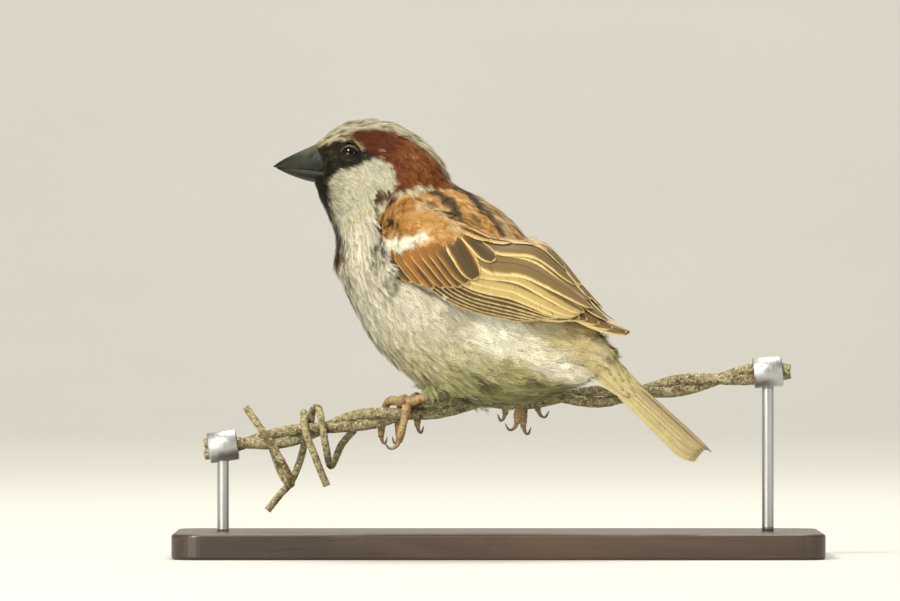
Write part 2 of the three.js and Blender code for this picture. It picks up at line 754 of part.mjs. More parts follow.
// A flat plate with rounded corners.
function basePlate() {
  const x = BASE_LENGTH / 2;
  const y = BASE_DEPTH / 2;
  const plan = new THREE.Shape();
  plan.absarc(x - BASE_CORNER, y - BASE_CORNER, BASE_CORNER, 0, Math.PI / 2);
  plan.absarc(-x + BASE_CORNER, y - BASE_CORNER, BASE_CORNER, Math.PI / 2, Math.PI);
  plan.absarc(-x + BASE_CORNER, -y + BASE_CORNER, BASE_CORNER, Math.PI, 1.5 * Math.PI);
  plan.absarc(x - BASE_CORNER, -y + BASE_CORNER, BASE_CORNER, 1.5 * Math.PI, 2 * Math.PI);
  return new THREE.ExtrudeGeometry(plan, { depth: BASE_THICKNESS, bevelEnabled: false, curveSegments: 5 });
}

// A rod up to the perch, with a short sleeve round both strands.
function supportRod(x) {
  const centre = wireMiddle(x);
  const direction = wireMiddle(x + 1).sub(wireMiddle(x - 1)).normalize();
  const inner = SLEEVE_BORE;
  const outer = SLEEVE_BORE + SLEEVE_WALL;
  const end = SLEEVE_LENGTH / 2;
  const ring = [[inner, -end], [outer, -end], [outer, end], [inner, end], [inner, -end]];
  const sleeve = new THREE.LatheGeometry(ring.map(([r, h]) => new THREE.Vector2(r, h)), 16);
  sleeve.applyQuaternion(new THREE.Quaternion().setFromUnitVectors(new THREE.Vector3(0, 1, 0), direction));
  sleeve.translate(centre.x, centre.y, centre.z);
  const bottom = BASE_THICKNESS + 0.02;
  const top = centre.z - inner - SLEEVE_WALL / 2;
  const rod = new THREE.CylinderGeometry(ROD_RADIUS, ROD_RADIUS, top - bottom, 12);
  rod.rotateX(Math.PI / 2);
  rod.translate(centre.x, 0, (top + bottom) / 2);
  return join([sleeve, rod]);
}

piece(stand, 'stand_base', basePlate(), basePaint);
piece(stand, 'stand_rod_left', supportRod(ROD_PLACES[0]), steel);
piece(stand, 'stand_rod_right', supportRod(ROD_PLACES[1]), steel);

export default sparrow;
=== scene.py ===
"""A male house sparrow, life size, perched on a cut length of barbed wire that a plain stand holds.

The bird's plumage is solid mesh: fine tufts over one skin, and vanes for the wings, back and tail.
Lengths named _MM are millimetres, and everything else is in metres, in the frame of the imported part.
"""

import math

import bmesh
import bpy
import numpy as np
from bpy.props import FloatProperty, FloatVectorProperty, IntProperty, PointerProperty
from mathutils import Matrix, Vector
from mathutils.kdtree import KDTree


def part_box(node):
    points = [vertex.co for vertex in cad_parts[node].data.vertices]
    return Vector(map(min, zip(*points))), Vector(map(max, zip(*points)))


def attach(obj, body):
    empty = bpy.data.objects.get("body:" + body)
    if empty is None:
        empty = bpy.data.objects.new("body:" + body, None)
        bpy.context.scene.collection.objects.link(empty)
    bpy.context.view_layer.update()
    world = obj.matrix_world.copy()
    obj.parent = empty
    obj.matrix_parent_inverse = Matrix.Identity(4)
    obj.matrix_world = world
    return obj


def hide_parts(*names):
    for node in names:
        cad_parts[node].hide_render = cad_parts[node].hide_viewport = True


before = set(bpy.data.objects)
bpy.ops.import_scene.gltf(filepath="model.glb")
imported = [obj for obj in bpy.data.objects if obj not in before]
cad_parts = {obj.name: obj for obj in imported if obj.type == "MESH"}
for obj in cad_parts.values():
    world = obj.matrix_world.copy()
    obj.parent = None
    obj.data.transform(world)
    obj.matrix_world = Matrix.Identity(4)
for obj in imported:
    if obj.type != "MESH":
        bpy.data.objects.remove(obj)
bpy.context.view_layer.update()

bl_info = {
    "name": "House Sparrow on a Wire",
    "version": (1, 0, 0),
    "blender": (4, 5, 0),
    "location": "3D View > Sidebar > Sparrow",
    "description": "Makes a life-size male house sparrow perched on barbed wire, on a display stand",
    "category": "Object",
}

MM = 0.001
BODY = "root"

# ---------- the bird's form
# The bird's own frame: X from head to tail, -Y its left side, turned and placed on the perch.

HEADING = math.radians(18)
BIRD_PLACE_MM = (-4.95, -6.0)

# Back x, z; front x, z; half width; offset to the right; turn in degrees, from bill to tail.
BODY_SECTIONS_MM = np.array([
    (-47.6, 112.4, -47.2, 103.6, 4.4, -4.0, 14),
    (-45.1, 114.7, -46.0, 100.9, 5.6, -3.7, 14),
    (-40.6, 118.2, -44.6, 97.6, 6.8, -3.2, 14),
    (-36.0, 120.0, -43.2, 94.4, 7.8, -2.6, 13),
    (-30.6, 120.4, -41.7, 90.9, 8.8, -1.9, 12),
    (-24.4, 119.1, -40.8, 87.4, 10.2, -1.3, 10),
    (-18.0, 115.6, -40.9, 83.8, 12.0, -0.7, 7),
    (-12.6, 110.4, -41.3, 80.2, 13.8, -0.3, 4),
    (-8.4, 103.8, -40.5, 76.9, 15.8, 0.0, 1),
    (-1.4, 99.8, -38.5, 72.5, 17.2, 0.0, 0),
    (4.9, 96.0, -35.3, 66.5, 18.0, 0.0, 0),
    (10.0, 91.2, -30.7, 59.6, 18.2, 0.0, 0),
    (14.1, 85.6, -24.3, 53.0, 17.6, 0.0, 0),
    (17.9, 80.0, -15.9, 46.8, 16.4, 0.0, 0),
    (21.6, 74.6, -5.2, 42.8, 14.2, -0.6, 0),
    (26.0, 69.6, 6.4, 42.0, 11.8, -1.0, 0),
    (29.9, 65.6, 17.3, 43.9, 9.6, -0.8, 0),
    (33.4, 61.2, 26.0, 46.6, 7.4, -0.6, 0),
    (36.4, 57.4, 32.0, 49.6, 5.6, -0.4, 0),
])
LAST_SECTION = len(BODY_SECTIONS_MM) - 1
SECTION_SQUARENESS = 0.93

BILL_BASE_MM = (-45.4, -3.75, 106.0)
BILL_TURN = math.radians(14)
CULMEN_MM = 12.6
GONYS_MM = 11.7
CULMEN_HEIGHT_MM = 7.2
GONYS_DEPTH_MM = 2.7
BILL_HALF_WIDTH_MM = 3.9
BILL_DROOP_MM = 1.15

EYE_RADIUS_MM = 2.75
EYE_PLACE_MM = (-36.4, 110.7)
EYE_APART_MM = 11.6
HEAD_MIDDLE_MM = -1.9

WING_LOWER_EDGE_MM = [
    (-25.8, -14.4, 82.7), (-18.1, -17.8, 77.8), (-7.5, -19.5, 73.9), (3.4, -19.5, 69.2),
    (15.1, -18.0, 66.5), (26.4, -14.5, 65.1), (36.3, -7.5, 62.9), (43.2, -2.4, 62.1),
]
WING_UPPER_EDGE_MM = [
    (-24.5, -12.6, 94.2), (-16.8, -14.6, 97.8), (-3.8, -15.0, 93.2), (7.7, -10.5, 87.1),
    (18.1, -2.0, 85.2), (26.4, -1.2, 76.4), (35.0, -1.2, 67.6), (43.5, -1.6, 62.9),
]
WING_BULGE_MM = [1.0, 2.2, 3.0, 2.6, 1.5, 1.0, 0.6, 0.2]

TAIL_BASE_MM = (30.2, -0.4, 59.2)
TAIL_TIP_MM = (64.5, -0.4, 28.8)
TAIL_BASE_HALF_MM = 4.0
TAIL_HALF_MM = 7.0
TAIL_ARCH_MM = 1.6
TAIL_ROLL = math.radians(19)
UNDERTAIL_DEPTH_MM = 4.2
UPPERTAIL_RISE_MM = 2.2

# ---------- the perch

WIRE_LINE_MM = [
    (-80.6, 29.6), (-60, 32.7), (-47.6, 35.4), (-40.7, 37.1), (-25.6, 39.3), (-6.3, 42.6),
    (13.8, 43.7), (31, 44.3), (53, 47.6), (72, 50.5), (80.3, 50.9),
]
STRAND_RADIUS_MM = 1.25
STRAND_OFFSET_MM = 1.55
HALF_TWIST_MM = 21.7
TWIST_START_MM = -47.6
BARB_RADIUS_MM = 1.0
BARB_REACH_MM = STRAND_OFFSET_MM + STRAND_RADIUS_MM + BARB_RADIUS_MM + 0.3
BARBS_MM = {  # x, share of the reach, z
    "perch_barb_left": [
        (-69.3, -0.7, 41.1), (-64.8, -1.02, 34.8), (-61.2, -1.05, 29.4), (-57.4, -0.8, 22.4),
        (-57.0, 0, 19.9), (-59.2, 0.8, 22.0), (-61.8, 1.05, 28.5), (-62.8, 1.0, 32.6),
    ],
    "perch_barb_middle": [
        (-63.5, 0.9, 12.6), (-60.0, 0.95, 17.0), (-56.8, 0.97, 20.8), (-54.0, 1.05, 28.0),
        (-53.1, 1.1, 34.2), (-53.4, 0, 39.6), (-52.9, -1.1, 34.6), (-50.3, -1.1, 27.8),
        (-48.3, -0.9, 22.6), (-47.0, -0.8, 19.6),
    ],
    "perch_barb_right": [
        (-39.6, 1.0, 34.8), (-43.0, 1.08, 30.8), (-45.9, 0.2, 25.0), (-47.2, -1.0, 30.0),
        (-48.2, -1.12, 35.8), (-49.3, -0.3, 40.6), (-51.0, 0.8, 40.2), (-51.6, 1.12, 36.4),
    ],
}

# Where each foot grips, and each toe's start, spread, drop and hook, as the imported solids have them.
ANKLE_MM = (0, -3.9, 2.9)
HEEL_RISE_MM = 0.9
LEG_RADIUS_MM = 1.36
TOE_RADIUS_MM = 1.34
CLAW_RADIUS_MM = 0.62
GRIP_REACH_MM = 3.95
FEET = {
    "left": {
        "grip": -24.8, "knee": (-17.4, -6.9, 44.9),
        "thigh": [(-4, -9.5, 57), (-10.5, -8.8, 50.6), (-16.4, -7.2, 45.5)],
        "toes": {
            "outer": (-2.3, -7.4, 5.4, 1.0), "middle": (0, -2.6, 6.0, -1.0),
            "inner": (2.3, 2.6, 4.0, 1.0), "hind": (-0.5, -2.3, 7.4, -2.4),
        },
    },
    "right": {
        "grip": 6.4, "knee": (7.1, -4.0, 49.0),
        "thigh": [(13, -7, 62), (10.5, -6, 55), (7.6, -4.3, 49.4)],
        "toes": {
            "outer": (2.3, 4.6, 3.4, 1.8), "middle": (0, 0.6, 7.9, 1.2),
            "inner": (-2.3, -4.4, 4.0, -1.2), "hind": (-0.3, -1.2, 6.6, -1.9),
        },
    },
}

# ---------- the markings
# Outlines and lines seen from the bird's left, as x, z in millimetres; the right side mirrors them.

BARE_BILL = [
    (-60, 114.5), (-50.6, 113.0), (-48.9, 110.2), (-48.0, 107.6), (-47.9, 105.4), (-48.8, 104.0),
    (-52.0, 103.2), (-60, 103.5),
]
MASK = [
    (-54, 113), (-49.5, 112.6), (-46.8, 113.3), (-44.0, 114.4), (-41.5, 114.8), (-38.8, 113.5),
    (-36.3, 111.9), (-34.2, 110.4), (-35.4, 109.4), (-38.0, 108.1), (-40.8, 107.2), (-44.0, 106.3),
    (-45.9, 104.9), (-47.0, 103.0), (-48.4, 101.4), (-54, 102.5),
]
BIB = [
    (-54, 104.7), (-48.4, 103.6), (-47.0, 103.0), (-46.2, 100.3), (-45.8, 96.4), (-45.0, 93.1),
    (-43.2, 90.7), (-41.8, 87.1), (-42.4, 82.7), (-44.0, 79.4), (-54, 78),
]
CHEEK = [
    (-47.0, 103.0), (-44.6, 105.8), (-39.6, 107.3), (-35.4, 109.6), (-32.5, 109.0), (-30.3, 107.9),
    (-28.9, 106.1), (-27.9, 103.3), (-29.2, 100.8), (-32.5, 98.9), (-34.1, 97.0), (-36.3, 94.8),
    (-40.2, 92.0), (-42.9, 90.7), (-45.0, 93.1), (-45.9, 96.4), (-46.3, 100.3),
]
CHESTNUT = [
    (-43.4, 115.6), (-40.6, 116.6), (-37.7, 117.2), (-32.5, 117.2), (-27.2, 116.1), (-23.7, 114.3),
    (-20.1, 111.8), (-16.6, 108.6), (-12.4, 104.8), (-12.8, 101.6), (-19.5, 101.3), (-25.6, 100.5),
    (-29.2, 98.6), (-33.0, 97.0), (-34.1, 97.3), (-32.5, 98.9), (-29.2, 100.8), (-27.9, 103.3),
    (-28.9, 106.1), (-30.3, 107.7), (-33.0, 108.8), (-34.7, 109.6), (-36.6, 111.8), (-38.8, 113.8),
    (-41.2, 114.9),
]
BROW = [(-50.6, 111.6), (-48.6, 113.2), (-46.2, 114.2), (-43.4, 115.1), (-41.2, 115.2)]
BROW_BEHIND = [(-38.4, 113.4), (-37.2, 112.2)]
BRIGHT_SPECKS = [(-32.5, 111.6), (-32.3, 109.5), (-23.4, 107.2), (-26.4, 110.2), (-23.7, 110.0)]
COLLAR = [(-40.6, 91.6), (-35.6, 94.8), (-31.0, 97.2), (-26.4, 99.8), (-22.4, 101.2), (-18.4, 101.8)]
EAR_LINE = [(-34.2, 97.9), (-31.1, 99.2), (-28.0, 100.8), (-24.6, 102.0)]
MANTLE = [
    (-35.5, 90.5), (-33.5, 94.0), (-29.5, 96.6), (-25.2, 99.2), (-20.8, 100.9), (-16.0, 101.6),
    (-12.5, 105.5), (-4.0, 103.0), (8.0, 96.0), (20.0, 86.0), (12.0, 78.0), (-4.0, 83.0), (-20.0, 85.5),
    (-33.0, 86.5),
]
BACK_PATCH = [(-6.0, 99.4), (-1.1, 95.7), (1.3, 92.2), (4.3, 87.8), (7.2, 85.3)]
MANTLE_STREAKS = [  # half width, then the line
    (1.15, [(-19.0, 101.5), (-15.9, 99.6), (-12.9, 96.6), (-11.2, 92.9)]),
    (0.8, [(-12.4, 102.4), (-8.8, 100.4), (-6.1, 97.4), (-5.1, 95.6)]),
    (0.45, [(-7.9, 94.4), (-6.1, 92.6), (-4.1, 90.2)]),
    (0.5, [(-3.6, 95.2), (-0.6, 91.7), (1.3, 88.8)]),
    (0.5, [(0.8, 97.0), (4.8, 92.6), (9.7, 86.4)]),
    (0.35, [(-25.2, 99.0), (-20.8, 98.0), (-16.8, 97.1)]),
    (0.4, [(-2.4, 99.6), (0.6, 97.6)]),
]
LESSER_COVERTS = [
    (-36.6, 91.3), (-34.4, 93.0), (-32.6, 95.2), (-29.6, 97.2), (-25.7, 97.9), (-23.4, 96.7),
    (-23.7, 93.2), (-22.6, 88.9), (-26.2, 88.0), (-31.6, 88.4), (-36.6, 88.9),
]
COVERT_SPOTS = [(-31.9, 92.4), (-29.8, 91.4), (-27.6, 90.2)]
PALE_TIPS = [(-22.9, 95.6), (-19.6, 96.4), (-16.6, 95.2), (-13.8, 92.4), (-11.6, 89.2)]
WING_BARS = [
    [(-34.6, 87.0), (-30.0, 86.2), (-26.4, 86.5), (-24.2, 87.2)], [(-22.2, 88.0), (-20.6, 88.4)],
]


def along(row, t):
    """A smooth value between the rows of a list, at t from 0 to 1, which may be an array."""
    row = np.asarray(row, float)
    flat = row.ndim == 1
    row = row.reshape(len(row), -1)
    last = len(row) - 1
    place = np.atleast_1d(np.asarray(t, float)) * last
    start = np.clip(np.floor(place), 0, last - 1).astype(int)
    share = (place - start)[:, None]
    near, far = row[start], row[start + 1]
    before = np.where((start > 0)[:, None], row[np.maximum(start - 1, 0)], 2 * near - far)
    after = np.where((start + 2 <= last)[:, None], row[np.minimum(start + 2, last)], 2 * far - near)
    leave, arrive = (far - before) / 2, (after - near) / 2
    value = (
        (2 * share**3 - 3 * share**2 + 1) * near + (share**3 - 2 * share**2 + share) * leave
        + (3 * share**2 - 2 * share**3) * far + (share**3 - share**2) * arrive
    )
    return value[:, 0] if flat else value


def signed_power(value, power):
    return np.sign(value) * np.abs(value) ** power


def between_rows(table, value):
    """A value read between the rows of a table of pairs."""
    return np.interp(value, *np.array(table, float).T)


def ease(value, low, high):
    """0 below low, 1 above high, and smooth between; low may be the larger one."""
    share = np.clip((value - low) / (high - low), 0, 1)
    return share * share * (3 - 2 * share)


def to_world(points):
    """Places in the bird's frame, in millimetres, as places in the part's frame, in metres."""
    points = np.asarray(points, float).reshape(-1, 3)
    cos, sin = math.cos(HEADING), math.sin(HEADING)
    x = BIRD_PLACE_MM[0] + points[:, 0] * cos + points[:, 1] * sin
    y = BIRD_PLACE_MM[1] - points[:, 0] * sin + points[:, 1] * cos
    return np.stack([x, y, points[:, 2]], 1) * MM


def turned(vectors):
    """Directions in the bird's frame as directions in the part's frame."""
    vectors = np.asarray(vectors, float).reshape(-1, 3)
    cos, sin = math.cos(HEADING), math.sin(HEADING)
    x, y = vectors[:, 0], vectors[:, 1]
    return np.stack([x * cos + y * sin, y * cos - x * sin, vectors[:, 2]], 1)


def unit(vectors):
    return vectors / np.maximum(np.linalg.norm(vectors, axis=-1, keepdims=True), 1e-12)


def body_point(section, angle):
    """Points of the body's form: section numbers from the bill, angles from the back, - to the left."""
    value = along(BODY_SECTIONS_MM, np.asarray(section, float) / LAST_SECTION)
    back_x, back_z, front_x, front_z, half, side, turn = value.T
    turn = np.radians(turn)
    rise = signed_power(np.cos(angle), SECTION_SQUARENESS)
    out = signed_power(np.sin(angle), SECTION_SQUARENESS) * half
    reach = rise * (back_x - front_x) / 2
    return np.stack([
        (back_x + front_x) / 2 + reach * np.cos(turn) - out * np.sin(turn),
        side + reach * np.sin(turn) + out * np.cos(turn),
        (back_z + front_z) / 2 + rise * (back_z - front_z) / 2,
    ], 1)


def spine_direction(section):
    """Which way the body runs towards the tail at these sections, in the bird's frame."""
    step = 0.3
    value = [along(BODY_SECTIONS_MM, (section + d) / LAST_SECTION) for d in (-step, step)]
    low, high = [
        np.stack([(v[:, 0] + v[:, 2]) / 2, v[:, 5], (v[:, 1] + v[:, 3]) / 2], 1) for v in value
    ]
    return unit(high - low)


def wing_face(u, v, side=-1):
    """Points of a folded wing's outer face: u from the bend to the tip, v from the lower edge up."""
    u, v = np.broadcast_arrays(np.asarray(u, float), np.asarray(v, float))
    shape, u, v = u.shape, u.ravel(), v.ravel()
    low, high = along(WING_LOWER_EDGE_MM, u), along(WING_UPPER_EDGE_MM, u)
    bulge = along(WING_BULGE_MM, u)
    turn = v * math.pi / 2
    across = low[:, 1] + (high[:, 1] - low[:, 1]) * (1 - np.cos(turn)) - bulge * np.sin(v * math.pi)
    return np.stack([
        low[:, 0] + (high[:, 0] - low[:, 0]) * np.sin(turn),
        across * -side,
        low[:, 2] + (high[:, 2] - low[:, 2]) * np.sin(turn),
    ], 1).reshape(shape + (3,))


def wing_flow(u, v, side):
    """Which way the shoulder's small feathers lie: along the wing, and down where they are low on it."""
    step = 0.01
    down = step * (0.35 + 0.7 * ease(v, 0.85, 0.35))
    return unit(turned(wing_face(u + step, v - down, side) - wing_face(u - step, v + down, side)))


def wire_middle(x):
    """Points of the twisted wire's middle line at these x, in millimetres."""
    line = np.array(WIRE_LINE_MM, float)
    places = np.linspace(0, 1, 400)
    curve = along(line, places)
    x = np.atleast_1d(np.asarray(x, float))
    return np.stack([x, np.zeros_like(x), np.interp(x, curve[:, 0], curve[:, 1])], 1)


def perch_point(grip, place):
    return wire_middle(grip + place[0])[0] + np.array([0, place[1], place[2]])


# ---------- colours and sizes

def colour(name, description, value):
    return FloatVectorProperty(
        name=name, description=description, subtype="COLOR", size=3, min=0, max=1, default=value
    )


def length(name, description, value, low=0.0, high=1.0):
    return FloatProperty(
        name=name, description=description, unit="LENGTH", min=low, max=high, default=value
    )


class SPARROW_PG_colours(bpy.types.PropertyGroup):
    """Colours of the plumage and the bare parts."""

    crown: colour("Crown", "Grey of the crown", (0.66, 0.635, 0.47))
    crown_fleck: colour("Crown flecks", "Dark flecks in the crown", (0.075, 0.065, 0.036))
    chestnut: colour("Chestnut", "Band from the eye to the nape", (0.118, 0.021, 0.004))
    chestnut_pale: colour("Pale chestnut", "Lighter hind part of that band", (0.38, 0.13, 0.026))
    mask: colour("Mask", "Black of the face and the bib", (0.017, 0.013, 0.008))
    bib_fringe: colour("Bib fringes", "Brown tips low on the bib", (0.15, 0.085, 0.045))
    brow: colour("Brow", "Cream specks over and behind the eye", (0.72, 0.62, 0.33))
    cheek: colour("Cheek", "Greyish white cheek", (0.58, 0.57, 0.45))
    collar: colour("Collar", "Cream line under the chestnut band", (0.62, 0.57, 0.4))
    breast: colour("Breast", "Greyish white breast", (0.73, 0.71, 0.6))
    # This tone is also used as painted shade in the crease in front of the wing.
    breast_shade: colour("Breast streaks", "Soft grey-brown streaks", (0.33, 0.3, 0.2))
    belly: colour("Belly", "Buff white belly", (0.62, 0.6, 0.38))
    puff: colour("Flank puff", "White fluffed flank feathers", (0.95, 0.94, 0.82))
    olive: colour("Low belly", "Olive tinge of the low belly", (0.3, 0.305, 0.085))
    smudge: colour("Smudges", "Dark smudges by the vent", (0.1, 0.095, 0.045))
    rump: colour("Rump", "Buff rump and tail coverts", (0.6, 0.51, 0.26))
    mantle: colour("Mantle", "Orange-buff of the back", (0.58, 0.31, 0.095))
    mantle_pale: colour("Pale mantle", "Grey-white patch on the back", (0.58, 0.47, 0.3))
    streak: colour("Back streaks", "Black streaks on the back", (0.035, 0.026, 0.016))
    lesser: colour("Lesser coverts", "Rufous lesser coverts", (0.46, 0.215, 0.055))
    bar: colour("Wing bar", "White wing bar", (0.88, 0.88, 0.76))
    covert: colour("Greater coverts", "Rufous webs of the greater coverts", (0.28, 0.118, 0.023))
    quill: colour("Flight feathers", "Brown centres of the flight feathers", (0.185, 0.122, 0.05))
    quill_dark: colour("Dark centres", "Darkest feather centres", (0.08, 0.052, 0.022))
    fringe: colour("Fringes", "Pale buff feather edges", (0.86, 0.68, 0.31))
    tail: colour("Tail", "Brown of the tail", (0.38, 0.295, 0.15))
    tail_edge: colour("Tail edges", "Pale edges of the tail feathers", (0.66, 0.6, 0.31))


class SPARROW_PG_sizes(bpy.types.PropertyGroup):
    """Sizes of the coat, the vanes and the bare parts."""

    voxel: length("Skin grain", "Voxel size of the skin", 0.00055, 0.0003, 0.002)
    tuft_density: FloatProperty(
        name="Tuft density", description="Share of the full number of tufts", min=0.05, max=1.0,
        default=1.0, subtype="FACTOR",
    )
    strand_radius: length("Strand radius", "Radius of one strand of the wire", 0.00148, 0.0005, 0.003)
    base_bevel: length("Base bevel", "Rounding of the base's edges", 0.0009, 0.0001, 0.003)
    seed: IntProperty(name="Seed", description="Seed of everything irregular", default=7, min=0)


# ---------- node helpers

class Graph:
    """Short ways to add and join the nodes of one tree."""

    def __init__(self, tree):
        self.tree = tree

    def add(self, kind, inputs=None, **settings):
        node = self.tree.nodes.new(kind)
        for key, value in settings.items():
            setattr(node, key, value)
        for key, value in (inputs or {}).items():
            self.feed(node.inputs[key], value)
        return node

    def feed(self, socket, value):
        if isinstance(value, bpy.types.Node):
            value = value.outputs[0]
        if isinstance(value, bpy.types.NodeSocket):
            self.tree.links.new(value, socket)
        else:
            socket.default_value = (*value, 1.0) if socket.type == "RGBA" else value

    def maths(self, operation, first, second=0.0):
        return self.add("ShaderNodeMath", {0: first, 1: second}, operation=operation)

    def plus(self, first, second):
        return self.maths("ADD", first, second)

    def minus(self, first, second):
        return self.maths("SUBTRACT", first, second)

    def times(self, first, second):
        return self.maths("MULTIPLY", first, second)

    def between(self, value, low, high):
        """0 where value is at low, 1 where it is at high, smooth between and held beyond."""
        node = self.add(
            "ShaderNodeMapRange", {"Value": value, "From Min": low, "From Max": high},
            interpolation_type="SMOOTHSTEP",
        )
        return node.outputs["Result"]

    def xyz(self, x, y, z):
        return self.add("ShaderNodeCombineXYZ", {"X": x, "Y": y, "Z": z})

    def blend(self, share, first, second, blend_type="MIX"):
        node = self.add("ShaderNodeMix", data_type="RGBA", blend_type=blend_type)
        self.feed(node.inputs["Factor"], share)
        self.feed(node.inputs[6], first)
        self.feed(node.inputs[7], second)
        return node.outputs[2]


class Finish(Graph):
    """A new material with its shader, and nodes that materials use often."""

    def __init__(self, name, roughness):
        self.material = bpy.data.materials.new(name)
        self.material.use_nodes = True
        super().__init__(self.material.node_tree)
        self.shader = self.tree.nodes["Principled BSDF"]
        self.shader.inputs["Roughness"].default_value = roughness

    def set(self, **values):
        for key, value in values.items():
            self.feed(self.shader.inputs[key.replace("_", " ").title().replace("Ior", "IOR")], value)

    def place(self, scale=(1, 1, 1)):
        """Object coordinates, stretched by a scale."""
        where = self.add("ShaderNodeTexCoord").outputs["Object"]
        if scale == (1, 1, 1):
            return where
        return self.add("ShaderNodeMapping", {"Vector": where, "Scale": scale}).outputs["Vector"]

    def noise(self, scale, detail=3.0, rough=0.55, where=None, twist=0.0):
        node = self.add(
            "ShaderNodeTexNoise",
            {"Scale": scale, "Detail": detail, "Roughness": rough, "Distortion": twist},
        )
        self.feed(node.inputs["Vector"], where or self.place())
        return node.outputs["Fac"]

    def attribute(self, name, output="Fac"):
        return self.add("ShaderNodeAttribute", attribute_name=name).outputs[output]

    def uv(self, name):
        parts = self.add("ShaderNodeSeparateXYZ", {0: self.add("ShaderNodeUVMap", uv_map=name)})
        return parts.outputs["X"], parts.outputs["Y"]

    def bumped(self, height, strength, distance):
        """The material, finished with its bump."""
        node = self.add("ShaderNodeBump", {"Height": height, "Strength": strength, "Distance": distance})
        self.set(normal=node.outputs["Normal"])
        return self.material


# ---------- mesh helpers

def show(name, mesh, finish, replaced=(), smooth=True):
    """Puts a finished mesh in the scene as one piece of the object."""
    piece = put(name, mesh)
    mesh.materials.clear()
    mesh.materials.append(finish)
    mesh.polygons.foreach_set("use_smooth", np.full(len(mesh.polygons), smooth))
    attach(piece, BODY)
    if replaced:
        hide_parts(*replaced)
    return piece


def mesh_from(name, points, faces):
    """A mesh from points in metres and lists of corners."""
    mesh = bpy.data.meshes.new(name)
    mesh.from_pydata([tuple(p) for p in np.asarray(points, float)], [], [tuple(f) for f in faces])
    mesh.update()
    return mesh


def store(mesh, name, values, kind="FLOAT"):
    attribute = mesh.attributes.new(name, kind, "POINT")
    values = np.asarray(values, np.int32 if kind == "INT" else np.float32)
    key = {"FLOAT_VECTOR": "vector", "FLOAT_COLOR": "color", "FLOAT2": "vector"}.get(kind, "value")
    attribute.data.foreach_set(key, values.ravel())


def coordinates(mesh):
    found = np.empty(len(mesh.vertices) * 3, np.float32)
    mesh.vertices.foreach_get("co", found)
    return found.reshape(-1, 3).astype(float)


def move_to(mesh, points):
    mesh.vertices.foreach_set("co", points.astype(np.float32).ravel())
    mesh.update()


def normals(mesh):
    found = np.empty(len(mesh.vertices) * 3, np.float32)
    mesh.vertex_normals.foreach_get("vector", found)
    return found.reshape(-1, 3).astype(float)


def applied(holder):
    """The plain mesh that an object's modifiers give."""
    graph = bpy.context.evaluated_depsgraph_get()
    return bpy.data.meshes.new_from_object(holder.evaluated_get(graph))


def circle(count):
    return np.linspace(0, 2 * math.pi, count, endpoint=False)


def around_axes(angles, side, other):
    return np.cos(angles)[:, None] * side + np.sin(angles)[:, None] * other


def put(name, data):
    """A new object in the scene."""
    holder = bpy.data.objects.new(name, data)
    bpy.context.scene.collection.objects.link(holder)
    return holder


def ring_faces(rings, count, closed=False):
    """Faces between neighbouring rings of count points; closed also joins the last ring to the first."""
    pairs = [(i * count, (i + 1) % rings * count) for i in range(rings if closed else rings - 1)]
    steps = [(k, (k + 1) % count) for k in range(count)]
    return [(a + k, a + n, b + n, b + k) for a, b in pairs for k, n in steps]


def end_faces(rings, count):
    """The two flat faces that close a row of rings."""
    return [tuple(reversed(range(count))), tuple((rings - 1) * count + k for k in range(count))]


def swept(points, radii, sides, rings, ripple=None, cap=0.6):
    """A closed round bar along points, as (points, faces); ripple changes the radius by t and angle."""
    points = np.asarray(points, float)
    t = np.linspace(0, 1, rings)
    fine = along(points, np.linspace(0, 1, 300))
    run = np.concatenate([[0], np.cumsum(np.linalg.norm(np.diff(fine, axis=0), axis=1))])
    centre = np.stack([np.interp(t * run[-1], run, fine[:, k]) for k in range(3)], 1)
    radius = np.interp(t, np.linspace(0, 1, len(radii)), radii) if len(radii) < 3 else along(radii, t)
    tangent = unit(np.gradient(centre, axis=0))
    side = np.cross(tangent[0], [0.0, 0.2, 1.0])
    out_points = []
    angles = circle(sides)
    for i in range(rings):
        side = side - tangent[i] * np.dot(side, tangent[i])
        side = side / np.linalg.norm(side)
        other = np.cross(tangent[i], side)
        grown = radius[i] * (1 + (ripple(t[i], angles) if ripple else 0 * angles))
        out_points.append(centre[i] + grown[:, None] * around_axes(angles, side, other))
    ends = [centre[0] - tangent[0] * radius[0] * cap, centre[-1] + tangent[-1] * radius[-1] * cap]
    faces = ring_faces(rings, sides)
    first, last = rings * sides, rings * sides + 1
    for k in range(sides):
        n = (k + 1) % sides
        faces.append((n, k, first))
        faces.append(((rings - 1) * sides + k, (rings - 1) * sides + n, last))
    return np.concatenate(out_points + [np.array(ends)]), faces


class Pile:
    """Collects shapes, with a value for each of their points, into one mesh."""

    def __init__(self):
        self.points, self.faces, self.values, self.maps, self.count = [], [], {}, [], 0

    def add(self, points, faces, values=None, corners=None):
        points = np.asarray(points, float)
        self.points.append(points)
        self.faces += [tuple(int(i) + self.count for i in face) for face in faces]
        self.count += len(points)
        for key, value in (values or {}).items():
            value = np.atleast_2d(np.asarray(value, float))
            self.values.setdefault(key, []).append(np.broadcast_to(value, (len(points), value.shape[-1])))
        if corners is not None:
            self.maps.append(corners)

    def mesh(self, name, map_name=None):
        mesh = mesh_from(name, np.concatenate(self.points), self.faces)
        for key, parts in self.values.items():
            value = np.concatenate(parts)
            store(mesh, key, value, "FLOAT_COLOR" if value.shape[1] == 4 else "FLOAT")
        if map_name:
            place = np.concatenate(self.maps)
            corner = np.array([i for face in self.faces for i in face])
            layer = mesh.uv_layers.new(name=map_name)
            layer.uv.foreach_set("vector", place[corner].astype(np.float32).ravel())
        return mesh


# ---------- markings

